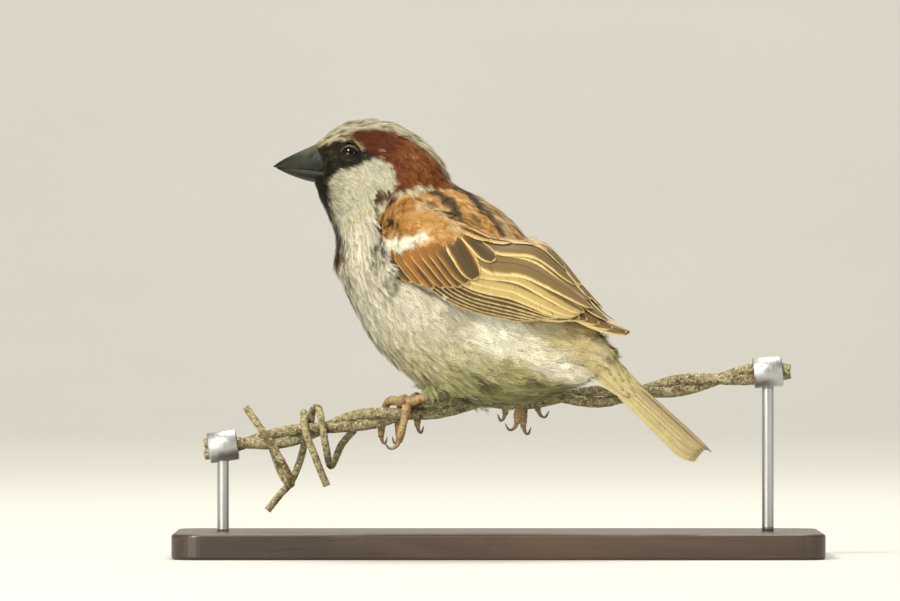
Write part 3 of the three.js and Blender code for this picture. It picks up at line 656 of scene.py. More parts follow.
def within(x, z, outline, soft=0.35):
    """1 inside an outline, 0 outside, with an edge that is soft over a distance in millimetres."""
    corner = np.array(outline, float)
    after = np.roll(corner, -1, axis=0)
    point = np.stack([x, z], 1)
    nearest = np.full(len(x), 1e9)
    odd = np.zeros(len(x), bool)
    for (ax, az), (bx, bz) in zip(corner, after):
        edge = np.array([bx - ax, bz - az])
        share = np.clip(((point - (ax, az)) @ edge) / (edge @ edge), 0, 1)
        gap = np.linalg.norm(point - (np.array([ax, az]) + share[:, None] * edge), axis=1)
        nearest = np.minimum(nearest, gap)
        crosses = (az > z) != (bz > z)
        if az != bz:
            odd ^= crosses & (x < (bx - ax) * (z - az) / (bz - az) + ax)
    return ease(np.where(odd, nearest, -nearest), -soft, soft)


def near_line(x, z, line, reach, soft=0.4):
    """1 on a line, 0 further than reach from it."""
    point = np.stack([x, z], 1)
    nearest = np.full(len(x), 1e9)
    for a, b in zip(np.array(line[:-1], float), np.array(line[1:], float)):
        edge = b - a
        share = np.clip(((point - a) @ edge) / (edge @ edge), 0, 1)
        nearest = np.minimum(nearest, np.linalg.norm(point - (a + share[:, None] * edge), axis=1))
    return ease(nearest, reach + soft, reach - soft)


def spot(x, z, centre, half_x, half_z, tilt=0.0, soft=0.45):
    """1 in an ellipse, 0 outside it."""
    tilt = math.radians(tilt)
    along_x, along_z = x - centre[0], z - centre[1]
    a = (along_x * math.cos(tilt) + along_z * math.sin(tilt)) / half_x
    b = (along_z * math.cos(tilt) - along_x * math.sin(tilt)) / half_z
    return ease(np.hypot(a, b), 1 + soft, 1 - soft)


def waves(x, y, z, size, seed=0):
    """A smooth irregular value from -1 to 1, with lumps of about this size."""
    rng = np.random.default_rng(seed)
    total = np.zeros(len(x))
    for _ in range(9):
        way = unit(rng.normal(size=3)) * rng.uniform(0.6, 1.5) * 2 * math.pi / (2.2 * size)
        total += np.sin(x * way[0] + y * way[1] + z * way[2] + rng.uniform(0, 2 * math.pi))
    return total / 4.2


FLANK_SPOTS = [  # tone, share, middle, half width and half height, tilt in degrees, softness
    ("puff", 0.95, (-1.5, 62.0), 8.0, 5.6, -25, 0.6),
    ("breast_shade", 0.5, (-12, 66.6), 4.5, 2.2, -20, 0.6),
]
SMUDGES = [
    ("smudge", 0.9, (-4.1, 47.2), 3.0, 1.5, 10, 0.45), ("smudge", 0.8, (9.3, 47.6), 3.0, 1.2, 8, 0.45),
]
VENT_SPOTS = [
    ("puff", 0.75, (11, 54.5), 14, 4.0, -28, 0.5), ("puff", 0.6, (20, 50.0), 9, 3.0, -12, 0.5),
    ("puff", 0.9, (30.0, 58.8), 4.4, 4.4, 0, 0.45),
]
OLIVE_SPOT = ((-1, 46.5), 19, 5.6, 0, 0.6)
LORE_SPOT = ((-50.0, 111.6), 1.6, 1.1)
# Painted shade: the crease in front of the wing, painted darker and mottled.
CREVICE_SHADE = [(-46, 87), (-42, 88), (-40.4, 80), (-41, 72), (-46, 72)]
# Degrees from the top of the head, by section.
GREY_CROWN_HALF = [(0, 30), (3, 29), (4.2, 23), (5.5, 11), (7, 3), (8, 0)]
EYE_RING_MM = 3.2


def plumage(section, angle, place, on_wing, tones):
    """Colour and strength of the dark shaft streak, at places in mm given as on the left side."""
    x, y, z = place.T
    fray = 0.42
    x = x + fray * waves(x, y, z, 0.9, 1) + 0.3 * waves(x, y, z, 2.6, 2)
    z = z + fray * waves(x, y, z, 0.9, 3) + 0.3 * waves(x, y, z, 2.6, 4)
    paint = np.tile(np.array(tones.breast), (len(x), 1))
    streak = np.zeros(len(x))

    def over(share, tone):
        paint[:] += (np.array(tone) - paint) * np.clip(share, 0, 1)[:, None]

    def spots(table):
        for tone, share, *shape in table:
            over(share * spot(x, z, *shape), getattr(tones, tone))

    up = np.degrees(np.abs(angle))
    patchy, fine = waves(x, y, z, 1.6, 5), waves(x, y, z, 0.5, 11)
    drawn = waves(0.4 * x, y, 1.6 * z, 0.8, 12)
    near_x, near_z = place[:, 0] + 0.3 * (x - place[:, 0]), place[:, 2] + 0.3 * (z - place[:, 2])
    # Breast to vent
    over(0.4 * ease(waves(x, y, z, 2.2, 6), 0.1, 1.0), tones.breast_shade)
    over(0.35 * ease(drawn, 0.2, 0.9), tones.breast_shade)
    over(ease(z, 67, 52) * ease(x, -40, -24), tones.belly)
    over(0.5 * ease(section, 11.2, 13.4) * ease(fine, 0.2, 0.8), tones.breast_shade)
    spots(FLANK_SPOTS)
    over(0.8 * spot(x, z, *OLIVE_SPOT) * (0.75 + 0.4 * patchy), tones.olive)
    spots(SMUDGES)
    over(0.85 * ease(section, 13.6, 15.6) * ease(up, 135, 95), tones.rump)
    spots(VENT_SPOTS)
    # Painted shade in the crease in front of the wing, mottled like the breast's specks.
    over(0.7 * within(x, z, CREVICE_SHADE, 1.0) * (0.55 + 0.6 * patchy), tones.breast_shade)
    # Back and shoulders
    back = within(x, z, MANTLE, 0.5) * np.where(x < -30, on_wing, 1.0)
    over(back, tones.mantle)
    over(back * 0.55 * ease(drawn, 0.0, 0.9), tones.fringe)
    over(back * 0.5 * ease(drawn, 0.0, -0.9), tones.lesser)
    over(back * 0.85 * near_line(x, z, BACK_PATCH, 1.7, 0.8) * ease(drawn, -1.0, 0.1), tones.mantle_pale)
    over(0.85 * ease(section, 11.8, 13.6) * ease(up, 75, 45), tones.rump)
    for reach, line in MANTLE_STREAKS:
        over(0.95 * back * near_line(near_x, near_z, line, reach, 0.35), tones.streak)
    over(back * 0.8 * near_line(x, z, PALE_TIPS, 1.1, 0.8), tones.mantle_pale)
    lesser = within(x, z, LESSER_COVERTS, 0.6) * on_wing
    over(0.9 * lesser, tones.lesser)
    over(0.45 * lesser * ease(drawn, 0.1, 1.0), tones.fringe)
    for centre in COVERT_SPOTS:
        over(spot(near_x, near_z, centre, 0.7, 1.5, 20), tones.streak)
    for line in WING_BARS:
        over(on_wing * near_line(near_x, near_z, line, 1.25, 0.35), tones.bar)
    # Head
    head = ease(section, 8.3, 7.6)
    crown = head * ease(up, 62, 50) * ease(z, 101, 103.5)
    over(crown, tones.crown)
    flecks = waves(0.5 * place[:, 0], y, place[:, 2], 0.8, 31)
    over(crown * 0.85 * ease(flecks, 0.1, 0.6), tones.crown_fleck)
    grey_half = between_rows(GREY_CROWN_HALF, section)
    band = within(x, z, CHESTNUT, 0.45) * ease(up, grey_half, grey_half + 8)
    over(band, tones.chestnut)
    over(band * 0.8 * ease(x, -33, -22) * ease(z, 98, 104) * ease(drawn, -1.0, 0.5), tones.chestnut_pale)
    over(band * 0.45 * ease(drawn, 0.2, 1.0), tones.mask)
    over(band * 0.5 * ease(z, 101.5, 99.5), 0.4 * np.array(tones.chestnut))
    for centre in BRIGHT_SPECKS:
        over(spot(place[:, 0], place[:, 2], centre, 0.34, 0.26), tones.brow)
    cheek = within(x, z, CHEEK, 0.4)
    over(cheek, tones.cheek)
    over(0.4 * cheek * ease(patchy, 0.1, 0.9), tones.breast_shade)
    over(0.6 * cheek * ease(x, -42, -45.5) * ease(fine, 0.1, 0.4), tones.mask)
    over(near_line(near_x, near_z, COLLAR, 0.85, 0.35), tones.collar)
    over(0.85 * near_line(near_x, near_z, EAR_LINE, 0.5, 0.35), 0.9 * np.array(tones.chestnut))
    bib = within(x, z, BIB, 0.6)
    over(bib, tones.mask)
    over(bib * 0.75 * ease(z, 92, 84) * (0.7 + 0.6 * patchy), tones.bib_fringe)
    mask = within(x, z, MASK, 0.35)
    over(mask, tones.mask)
    over(0.16 * mask * ease(fine, 0.3, 0.9), tones.olive)
    specks = waves(place[:, 0], y, place[:, 2], 0.95, 21)
    over(near_line(x, z, BROW, 0.55, 0.4) * ease(specks, 0.0, 0.35), tones.brow)
    over(0.8 * spot(x, z, *LORE_SPOT) * ease(fine, 0.1, 0.4), tones.chestnut)
    over(0.95 * near_line(near_x, near_z, BROW_BEHIND, 0.42, 0.3), tones.brow)
    ring = np.hypot(place[:, 0] - eye_centre(-1)[0], place[:, 2] - eye_centre(-1)[2])
    over(0.7 * ease(np.abs(ring - EYE_RING_MM), 0.5, 0.15) * ease(fine, 0.35, 0.8) * head, tones.brow)
    streak += 0.5 * ease(section, 7.5, 9) + 0.75 * crown
    return paint, streak


# ---------- finishes

def coat_finish(name):
    """Soft feather: the body's markings, with a faint shaft and barbs, and darker at each tuft's root:
    partly grey down, partly painted shade where the tufts overlap.
    """
    g = Finish(name, 0.82)
    paint = g.attribute("coat_colour", "Color")
    tip, tone, streak = (g.attribute(key) for key in ("tip", "tone", "streak"))
    across, _ = g.uv("tuft")
    middle = g.maths("ABSOLUTE", g.minus(across, 0.5))
    shaft = g.times(g.between(middle, 0.16, 0.02), streak)
    # Painted shade: each tuft is darkened towards its root, where the tufts overlap and shade each other;
    # partly also the grey down there.
    root = g.blend(g.between(tip, 0.75, 0.0), paint, (0.44, 0.42, 0.39), "MULTIPLY")
    varied = g.blend(0.7, root, g.blend(tone, (0.62, 0.6, 0.56), (1.35, 1.33, 1.28)), "MULTIPLY")
    grain = g.blend(g.noise(2600, 2.0), (0.72, 0.71, 0.69), (1.22, 1.22, 1.22))
    combed = g.blend(0.6, varied, grain, "MULTIPLY")
    g.set(base_color=g.blend(g.times(shaft, 0.55), combed, (0.06, 0.05, 0.03)))
    g.set(roughness=g.between(tone, -1.2, 1.6))
    g.set(sheen_weight=0.02, sheen_roughness=0.5, specular_ior_level=0.15)
    return g.bumped(g.noise(5200, 2.0), 0.35, 0.00005)


def skin_finish():
    """The bird's surface under its tufts, with the same markings, darker and woolly."""
    g = Finish("skin_down", 0.9)
    paint = g.attribute("coat_colour", "Color")
    fluff = g.blend(g.noise(1500, 4.0, 0.7), (0.42, 0.41, 0.39), (0.85, 0.85, 0.84))
    g.set(base_color=g.blend(1.0, paint, fluff, "MULTIPLY"), specular_ior_level=0.2)
    return g.bumped(g.noise(2600, 5.0, 0.7), 0.6, 0.0002)


def vane_finish(name):
    """A quill feather: web, dark patch along the shaft and pale fringe, with combed barbs."""
    g = Finish(name, 0.6)
    across_map, run = g.uv("vane")
    web, patch, fringe = (g.attribute(key, "Color") for key in ("web", "patch", "fringe"))
    patch_half, fringe_width = g.attribute("patch", "Alpha"), g.attribute("fringe", "Alpha")
    patch_start, size = g.attribute("web", "Alpha"), g.attribute("size")
    across = g.times(g.minus(across_map, 0.5), 2.0)
    off = g.maths("ABSOLUTE", across)
    wander = g.times(g.minus(g.noise(420, 3.0), 0.5), 0.22)
    combs = g.minus(g.times(run, size), g.times(off, 2.6))
    barbs = g.maths("SINE", g.times(combs, 14.0))
    strands = g.xyz(combs, g.times(across_map, 0.8), size)
    split = g.between(g.noise(1.4, 4.0, 0.7, strands), 0.57, 0.68)
    wobble = g.plus(wander, g.times(barbs, 0.03))
    near_edge = g.maths("MINIMUM", g.minus(1.0, off), g.times(g.minus(1.0, run), g.times(size, 0.3)))
    edge = g.minus(near_edge, wobble)
    ragged = g.times(g.minus(g.noise(2.2, 3.0, 0.6, strands), 0.5), 0.16)
    pale = g.between(g.plus(g.minus(edge, fringe_width), ragged), 0.13, -0.12)
    in_patch = g.between(g.minus(g.plus(off, wobble), patch_half), 0.14, -0.14)
    dark = g.times(in_patch, g.between(g.minus(run, patch_start), -0.12, 0.1))
    tinted = g.blend(g.times(pale, 0.95), g.blend(dark, web, patch), fringe)
    shaft = g.between(off, 0.06, 0.025)
    lined = g.blend(g.times(shaft, 0.6), tinted, (0.05, 0.036, 0.022))
    comb_tone = g.blend(g.maths("MULTIPLY_ADD", barbs, 0.5), (0.8, 0.79, 0.77), (1.12, 1.12, 1.12))
    combed = g.blend(g.times(split, 0.5), lined, (0.05, 0.036, 0.022))
    mottled = g.blend(0.7, combed, comb_tone, "MULTIPLY")
    cloud = g.blend(g.noise(260, 3.0), (0.8, 0.79, 0.77), (1.15, 1.15, 1.15))
    g.set(base_color=g.blend(0.7, mottled, cloud, "MULTIPLY"))
    g.set(roughness=g.between(barbs, -3.0, 2.4))
    g.set(specular_ior_level=0.25)
    return g.bumped(g.plus(barbs, g.times(shaft, 3.0)), 0.35, 0.00006)


def bill_finish():
    g = Finish("bill_horn", 0.34)
    worn = g.noise(420, 5.0, 0.6)
    fine = g.noise(2400, 3.0, where=g.place((0.35, 1, 1)))
    base = g.blend(g.between(worn, 0.35, 0.75), (0.007, 0.0075, 0.004), (0.022, 0.023, 0.013))
    # Painted highlight: the top of the upper half is made lighter near its base, as a sheen on the ridge.
    ridge_sheen = g.blend(g.attribute("ridge"), base, (0.068, 0.072, 0.045))
    g.set(base_color=g.blend(g.between(fine, 0.66, 0.74), ridge_sheen, (0.16, 0.16, 0.14)))
    g.set(roughness=g.between(worn, -1.0, 1.9))
    g.set(specular_ior_level=0.25)
    return g.bumped(g.plus(fine, worn), 0.25, 0.00008)


def eye_finish():
    """A dark brown iris round a black pupil under a clear, wet surface."""
    g = Finish("eye_wet", 0.06)
    iris = g.attribute("iris")
    spokes = g.noise(3600, 4.0)
    brown = g.blend(spokes, (0.004, 0.0025, 0.0018), (0.018, 0.01, 0.006))
    g.set(base_color=g.blend(g.between(iris, 0.42, 0.5), (0.002, 0.002, 0.002), brown))
    g.set(specular_ior_level=0.32)
    return g.bumped(g.noise(500, 1.0), 0.02, 0.00002)


def lid_finish():
    g = Finish("lid_skin", 0.6)
    beads = g.noise(3400, 3.0)
    base = g.blend(g.between(beads, 0.4, 0.7), (0.022, 0.02, 0.014), (0.12, 0.11, 0.07))
    rim = g.times(g.attribute("rim"), g.between(beads, 0.42, 0.62))
    g.set(base_color=g.blend(rim, base, (0.2, 0.185, 0.11)))
    g.set(specular_ior_level=0.4)
    return g.bumped(beads, 0.7, 0.00012)


def leg_finish():
    g = Finish("leg_scales", 0.48)
    plates = g.attribute("plate")
    stain = g.noise(700, 4.0)
    skin = g.blend(g.between(stain, 0.3, 0.7), (0.2, 0.125, 0.052), (0.47, 0.33, 0.145))
    edge = g.times(g.between(plates, 0.3, 0.05), g.between(g.noise(1500, 2.0), 0.35, 0.6))
    g.set(base_color=g.blend(edge, skin, (0.14, 0.085, 0.045)))
    g.set(roughness=g.between(stain, -0.9, 1.6))
    g.set(subsurface_weight=0.08, subsurface_scale=0.0006)
    return g.bumped(g.plus(g.noise(4200, 3.0), g.times(plates, 1.5)), 0.4, 0.00007)


def claw_finish():
    g = Finish("claw_horn", 0.3)
    streaks = g.noise(1500, 3.0, where=g.place((1, 1, 0.3)))
    tip, horn = g.attribute("tip"), g.blend(streaks, (0.22, 0.13, 0.07), (0.42, 0.29, 0.17))
    g.set(base_color=g.blend(tip, horn, (0.1, 0.065, 0.04)))
    g.set(coat_weight=0.2, coat_roughness=0.3)
    return g.bumped(streaks, 0.3, 0.00005)


def wire_finish():
    """Old galvanised wire: dull zinc, brown rust and specks of pale lichen."""
    g = Finish("weathered_wire", 0.7)
    broad, fine, specks = g.noise(150, 5.0, 0.65), g.noise(900, 6.0, 0.7), g.noise(1700, 3.0, 0.6)
    zinc = g.blend(g.between(fine, 0.3, 0.7), (0.106, 0.0862, 0.0427), (0.543, 0.483, 0.285))
    rust = g.blend(g.between(fine, 0.3, 0.7), (0.059, 0.0379, 0.0171), (0.26, 0.172, 0.0808))
    worn = g.blend(g.between(broad, 0.5, 0.64), zinc, rust)
    crusted = g.blend(g.between(specks, 0.56, 0.64), worn, (0.708, 0.655, 0.399))
    g.set(base_color=g.blend(g.between(fine, 0.34, 0.22), crusted, (0.0177, 0.0126, 0.00665)))
    g.set(metallic=0.15, specular_ior_level=0.35)
    g.set(roughness=g.between(fine, -0.9, 0.95))
    return g.bumped(g.plus(g.times(fine, 2.0), specks), 0.9, 0.0004)


def wood_finish():
    """Dark stained wood under a satin varnish."""
    g = Finish("stained_wood", 0.42)
    grain = g.noise(60, 6.0, 0.6, g.place((0.12, 1, 1)), 0.8)
    pores = g.noise(900, 3.0, 0.6, g.place((0.06, 1, 1)))
    base = g.blend(g.between(grain, 0.3, 0.7), (0.03, 0.018, 0.011), (0.085, 0.048, 0.028))
    g.set(base_color=g.blend(g.between(pores, 0.62, 0.72), base, (0.018, 0.011, 0.007)))
    g.set(roughness=g.between(grain, -0.9, 1.9))
    g.set(coat_weight=0.35, coat_roughness=0.22)
    return g.bumped(g.plus(grain, pores), 0.2, 0.0001)


def steel_finish():
    g = Finish("brushed_steel", 0.32)
    brush = g.noise(1400, 4.0, 0.6, g.place((1, 1, 0.04)))
    g.set(base_color=g.blend(brush, (0.38, 0.39, 0.4), (0.62, 0.63, 0.64)), metallic=1.0)
    g.set(roughness=g.between(brush, -0.6, 1.7))
    return g.bumped(brush, 0.2, 0.00005)


# ---------- the skin

FLESH = ["head", "neck", "trunk", "thigh_left", "thigh_right", "wing_left_coverts", "wing_right_coverts"]
SIDES = {"left": -1, "right": 1}
SWELL_MM = 0.25  # closes the thin gaps between the solids before they are made one
COAT_DEPTH_MM = [(0, 0.3), (1.5, 0.4), (3, 0.6), (5.5, 0.9), (8, 1.2), (10, 1.5), (16, 1.4), (18, 0.9)]
WING_COAT_MM = 1.2
COVERTS_END = 0.44
# Coat regions: first and last section of each band; each band has a left and a right piece.
COAT_BANDS = [("face", 0, 3.6), ("hindhead", 3.6, 8.0), ("breast", 8.0, 11.6), ("belly", 11.6, 18.0)]
WING_REGION = 2 * len(COAT_BANDS)
# Tufts cover a wing's shoulder above these v, at each u.
SOFT_WING = [
    (-0.05, 0.07), (0.0, 0.1), (0.143, 0.22), (0.22, 0.32), (0.3, 0.47), (0.36, 0.7), (0.43, 0.86),
    (0.47, 0.95),
]


def grid(first, second):
    return [a.ravel() for a in np.meshgrid(first, second, indexing="ij")]


class Places:
    """Where each of many points lies: on the body, on a wing's coverts or on a thigh."""

    def __init__(self, points):
        number = np.linspace(0, LAST_SECTION, 217)
        angle = np.linspace(-math.pi, math.pi, 121)[:-1]
        numbers, angles = grid(number, angle)
        body = to_world(body_point(numbers, angles))
        index, _ = self.nearest(body, points)
        self.section, self.angle = numbers[index], angles[index]
        self.side = np.where(self.angle < 0, -1, 1)
        across, up = grid(np.linspace(0, 1, 121), np.linspace(0, 1, 61))
        self.wing_gap = np.full(len(points), 1.0)
        self.u, self.v = np.zeros(len(points)), np.zeros(len(points))
        self.wing_lie = np.zeros((len(points), 3))
        for side in (-1, 1):
            face = to_world(wing_face(across, up, side))
            flow = wing_flow(across, up, side)
            index, gap = self.nearest(face, points)
            closer = gap < self.wing_gap
            self.wing_gap = np.where(closer, gap, self.wing_gap)
            self.u, self.v = np.where(closer, across[index], self.u), np.where(closer, up[index], self.v)
            self.wing_lie[closer] = flow[index][closer]
        self.thigh_gap = np.full(len(points), 1.0)
        self.thigh_lie = np.zeros((len(points), 3))
        for foot in FEET.values():
            line = along(foot["thigh"], np.linspace(0, 1, 60)) * MM
            index, gap = self.nearest(line, points)
            closer = (gap < self.thigh_gap) & (index > 12)
            self.thigh_gap = np.where(closer, gap, self.thigh_gap)
            self.thigh_lie[closer] = unit(np.gradient(line, axis=0))[index][closer]

    def refine(self, points):
        """Moves each section number and angle to the closest place of the body's smooth form."""
        step = 0.02
        for _ in range(4):
            here = to_world(body_point(self.section, self.angle))
            over_s = (to_world(body_point(self.section + step, self.angle)) - here) / step
            over_a = (to_world(body_point(self.section, self.angle + step)) - here) / step
            joint = np.stack([over_s, over_a], 2)
            move = np.einsum("nij,nj->ni", np.linalg.pinv(joint), points - here)
            self.section = np.clip(self.section + np.clip(move[:, 0], -0.3, 0.3), 0, LAST_SECTION)
            self.angle = self.angle + np.clip(move[:, 1], -0.15, 0.15)
        return to_world(body_point(self.section, self.angle))

    @staticmethod
    def nearest(targets, points):
        tree = KDTree(len(targets))
        for i, place in enumerate(targets):
            tree.insert(place, i)
        tree.balance()
        found = [tree.find(p)[1:] for p in points]
        return np.array([f[0] for f in found]), np.array([f[1] for f in found])


def smoothed(points, mesh, rounds, share=0.5, held=None):
    """Points moved towards their neighbours' mean, some rounds over."""
    edges = np.empty(len(mesh.edges) * 2, np.int32)
    mesh.edges.foreach_get("vertices", edges)
    a, b = edges.reshape(-1, 2).T
    count = np.bincount(a, minlength=len(points)) + np.bincount(b, minlength=len(points))
    keep = 1 - (held if held is not None else np.zeros(len(points)))
    for _ in range(rounds):
        total = np.zeros_like(points)
        for k in range(points.shape[1]):
            ends = [np.bincount(i, points[j, k], len(points)) for i, j in ((a, b), (b, a))]
            total[:, k] = ends[0] + ends[1]
        points = points + (total / np.maximum(count, 1)[:, None] - points) * (share * keep)[:, None]
    return points


def make_skin(sizes, tones):
    """One closed skin inside the solids of flesh, with the places, lie and markings of its coat."""
    shape = bmesh.new()
    for name in FLESH:
        shape.from_mesh(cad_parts[name].data)
    plug = bill_pocket_plug()
    shape.from_mesh(plug)
    bpy.data.meshes.remove(plug)
    bmesh.ops.remove_doubles(shape, verts=shape.verts, dist=1e-6)
    bmesh.ops.recalc_face_normals(shape, faces=shape.faces)
    shape.normal_update()
    for vertex in shape.verts:
        vertex.co += vertex.normal * SWELL_MM * MM
    mesh = bpy.data.meshes.new("skin_form")
    shape.to_mesh(mesh)
    shape.free()
    holder = put("skin_form", mesh)
    remesh = holder.modifiers.new("one_skin", "REMESH")
    remesh.mode = "VOXEL"
    remesh.voxel_size = sizes.voxel
    skin = applied(holder)
    bpy.data.objects.remove(holder)
    points = smoothed(coordinates(skin), skin, 5)
    move_to(skin, points)
    where = Places(points)
    smooth_form = where.refine(points)
    off = np.linalg.norm(smooth_form - points, axis=1) / MM
    calm = ease(off, 1.1, 0.7) * (where.section > 0.15) * (where.section < LAST_SECTION - 0.2)
    points = points + (smooth_form + normals(skin) * SWELL_MM * MM - points) * calm[:, None]
    move_to(skin, points)
    depth = between_rows(COAT_DEPTH_MM, where.section)
    on_wing = (where.wing_gap < 0.8 * MM) & (where.u < COVERTS_END + 0.03)
    soft = ease(where.v - between_rows(SOFT_WING, where.u), -0.06, 0.06)
    deep = WING_COAT_MM + 1.0 * ease(where.u, 0.18, 0.26)
    depth = np.where(on_wing, deep + (0.4 - deep) * soft, depth)
    depth = np.where(where.thigh_gap < 4.5 * MM, 0.5, depth)
    eyes = [eye_centre(side) * MM for side in SIDES.values()]
    eye_gap = np.min([np.linalg.norm(points - eye, axis=1) for eye in eyes], axis=0) / MM
    depth = depth * ease(eye_gap, 2.9, 4.6) + 0.12 * ease(eye_gap, 4.6, 2.9)
    bare = bill_bare(where)
    depth = depth + 1.6 * bare
    outward = normals(skin)
    push = outward * (depth + SWELL_MM)[:, None]
    away = unit(np.stack([0 * where.side, where.side, 0.35 + 0 * where.side], 1))
    inner = (where.wing_gap < 4 * MM) & (np.sum(outward * away, axis=1) < 0.15) & (where.u > 0.12)
    push[inner] = away[inner] * 3.0
    points = points - push * MM
    points = smoothed(points, skin, 4, 0.45, ease(eye_gap, 4.2, 3.2))
    move_to(skin, points)
    paint_skin(skin, where, on_wing, eye_gap, tones)
    return skin


def bill_pocket_plug():
    """A core that fills the head's pocket for the bill, so that the skin closes smoothly behind it."""
    sides, rings, shrink = 40, 9, 0.88
    angles = np.linspace(-math.pi, math.pi, sides, endpoint=False)
    points = []
    for section in np.linspace(0.12, 2.6, rings):
        ring = body_point(np.full(sides, section), angles)
        points.append(to_world(ring.mean(0) + (ring - ring.mean(0)) * shrink))
    faces = ring_faces(rings, sides) + end_faces(rings, sides)
    return mesh_from("bill_pocket_plug", np.concatenate(points), faces)


def bill_bare(where):
    """1 where the bill's own horn shows at the front of the face."""
    seen = to_world(body_point(where.section, -np.abs(where.angle))) / MM
    return within(seen[:, 0], seen[:, 2], BARE_BILL, 0.5) * (where.section < 2.5)


# The tufts by section number from the bill: length, width, tufts on a square millimetre, lift in degrees.
TUFT_LENGTH_MM = [
    (0, 1.0), (0.8, 1.2), (2.5, 1.6), (4.5, 2.3), (6.5, 2.8), (8.5, 3.4), (11, 5.4), (15, 5.8), (18, 5.0),
]
TUFT_WIDTH_MM = [(0, 0.42), (2.5, 0.52), (5, 0.75), (8, 1.1), (11, 1.6), (18, 1.6)]
TUFT_COUNT = [(0, 18.5), (2, 16), (4, 8.2), (6, 5.4), (8, 4.8), (10, 3.6), (13, 2.25), (18, 2.25)]
TUFT_LIFT = [(0, 9), (3, 11), (6, 12), (9, 12), (18, 13)]
BACK_LENGTH_MM = [(7.6, 2.3), (8.6, 3.0), (10, 3.8), (13, 4.8)]
BACK_COUNT = [(7.6, 5.8), (9, 4.8), (10, 4.0)]
SHOULDER_LENGTH_MM, SHOULDER_WIDTH_MM, SHOULDER_COUNT, SHOULDER_LIFT = 3.4, 1.8, 7.4, 15
THIGH_LENGTH_MM, THIGH_WIDTH_MM, THIGH_COUNT, THIGH_REACH_MM = 4.4, 1.0, 5.0, 4.2
LONG_TUFT_MM = 8.0  # in front of the wing, where the breast's feathers cover its bend
LID_GAP_MM = 2.95


def paint_skin(skin, where, on_wing, eye_gap, tones):
    """Stores what the coat reads from the skin: colours, lie, lengths, regions and the unwrap."""
    outward = normals(skin)
    points = coordinates(skin)
    section, up = where.section, np.degrees(np.abs(where.angle))
    mirrored = to_world(body_point(section, -np.abs(where.angle))) / MM
    mirrored[on_wing] = to_world(wing_face(where.u, where.v))[on_wing] / MM
    body_lie = turned(spine_direction(section))
    seen_lie = np.where(on_wing[:, None], wing_flow(where.u, where.v, -1), body_lie)
    on_thigh = where.thigh_gap < THIGH_REACH_MM * MM
    lie = np.where((on_wing & (where.u > 0.03))[:, None], where.wing_lie, body_lie)
    lie = np.where(on_thigh[:, None], where.thigh_lie, lie)
    lie = unit(lie - outward * np.sum(lie * outward, axis=1)[:, None])
    region = np.full(len(points), -1)
    for number, (_, low, high) in enumerate(COAT_BANDS):
        inside = (section >= low) & (section < high)
        region[inside] = 2 * number + (where.side[inside] > 0)
    under_wing = (where.wing_gap < 3.6 * MM) & (where.u > 0.08) & (where.u < 0.9) & (where.v > 0.1)
    under_wing |= (where.wing_gap < 1.7 * MM) & (where.u > 0.2) & (where.u < 0.62)
    region[(under_wing & ~on_wing) | (section > 17.9)] = -1
    fore_wing = on_wing & ((where.v > between_rows(SOFT_WING, where.u)) | (where.u < 0.015))
    hollow = on_wing & ~fore_wing & (where.u <= 0.08)
    region[on_wing & ~hollow] = -1
    region[fore_wing] = WING_REGION + (where.side[fore_wing] > 0)
    region[(eye_gap < LID_GAP_MM) | (bill_bare(where) > 0.35)] = -1
    back = (section > 7.6) & (section < 13) & (up < 95)
    throat = within(mirrored[:, 0], mirrored[:, 2], BIB, 0.8) * (section > 1.0)
    throat = throat * ease(mirrored[:, 2], 78.5, 88.0)
    tuft = np.where(back, between_rows(BACK_LENGTH_MM, section), between_rows(TUFT_LENGTH_MM, section))
    tuft = np.where(fore_wing, SHOULDER_LENGTH_MM, tuft)
    tuft = np.where(on_thigh, THIGH_LENGTH_MM, tuft)
    before_wing = ease(where.wing_gap, 7.0 * MM, 4.5 * MM) * ease(where.u, 0.1, 0.04) * (~on_wing | hollow)
    before_wing = before_wing * ease(mirrored[:, 2], 96.5, 93.5) * ease(mirrored[:, 2], 66, 72)
    tuft = tuft + (LONG_TUFT_MM - tuft) * before_wing
    tuft = tuft * (0.55 + 0.45 * ease(eye_gap, 3.0, 5.5)) * (1 + 0.3 * throat)
    wide = np.where(on_thigh, THIGH_WIDTH_MM, between_rows(TUFT_WIDTH_MM, section))
    wide = np.where(fore_wing, SHOULDER_WIDTH_MM, wide)
    density = np.where(on_thigh, THIGH_COUNT, between_rows(TUFT_COUNT, section))
    density = np.where(back, between_rows(BACK_COUNT, section), density)
    density = np.where(fore_wing, SHOULDER_COUNT, density)
    density = density + 3.0 * before_wing
    lift = between_rows(TUFT_LIFT, section) + 9 * throat * ease(up, 100, 150)
    lift = np.where(fore_wing, SHOULDER_LIFT, lift)
    lift = lift + 4.0 * before_wing
    top = (section > 1.2) & (section < 7.4) & (up < 65)
    tuft, lift = np.where(top, 1.25 * tuft, tuft), np.where(top, lift + 3, lift)
    visible = mirrored + seen_lie * (0.55 * tuft)[:, None]
    paint, streak = plumage(section, where.angle, visible, on_wing, tones)
    paint[on_wing & ~fore_wing & (where.u > 0.08)] = tones.quill_dark
    paint[hollow] = np.array(tones.breast) * 0.9
    store(skin, "coat_colour", np.concatenate([paint, np.ones((len(paint), 1))], 1), "FLOAT_COLOR")
    store(skin, "streak", streak)
    store(skin, "lie", lie, "FLOAT_VECTOR")
    store(skin, "region", region, "INT")
    store(skin, "tuft_length", tuft * MM)
    store(skin, "tuft_width", wide * MM)
    store(skin, "tuft_count", density / MM**2)
    store(skin, "lift", np.radians(lift))
    unwrap_skin(skin, where, region, up)


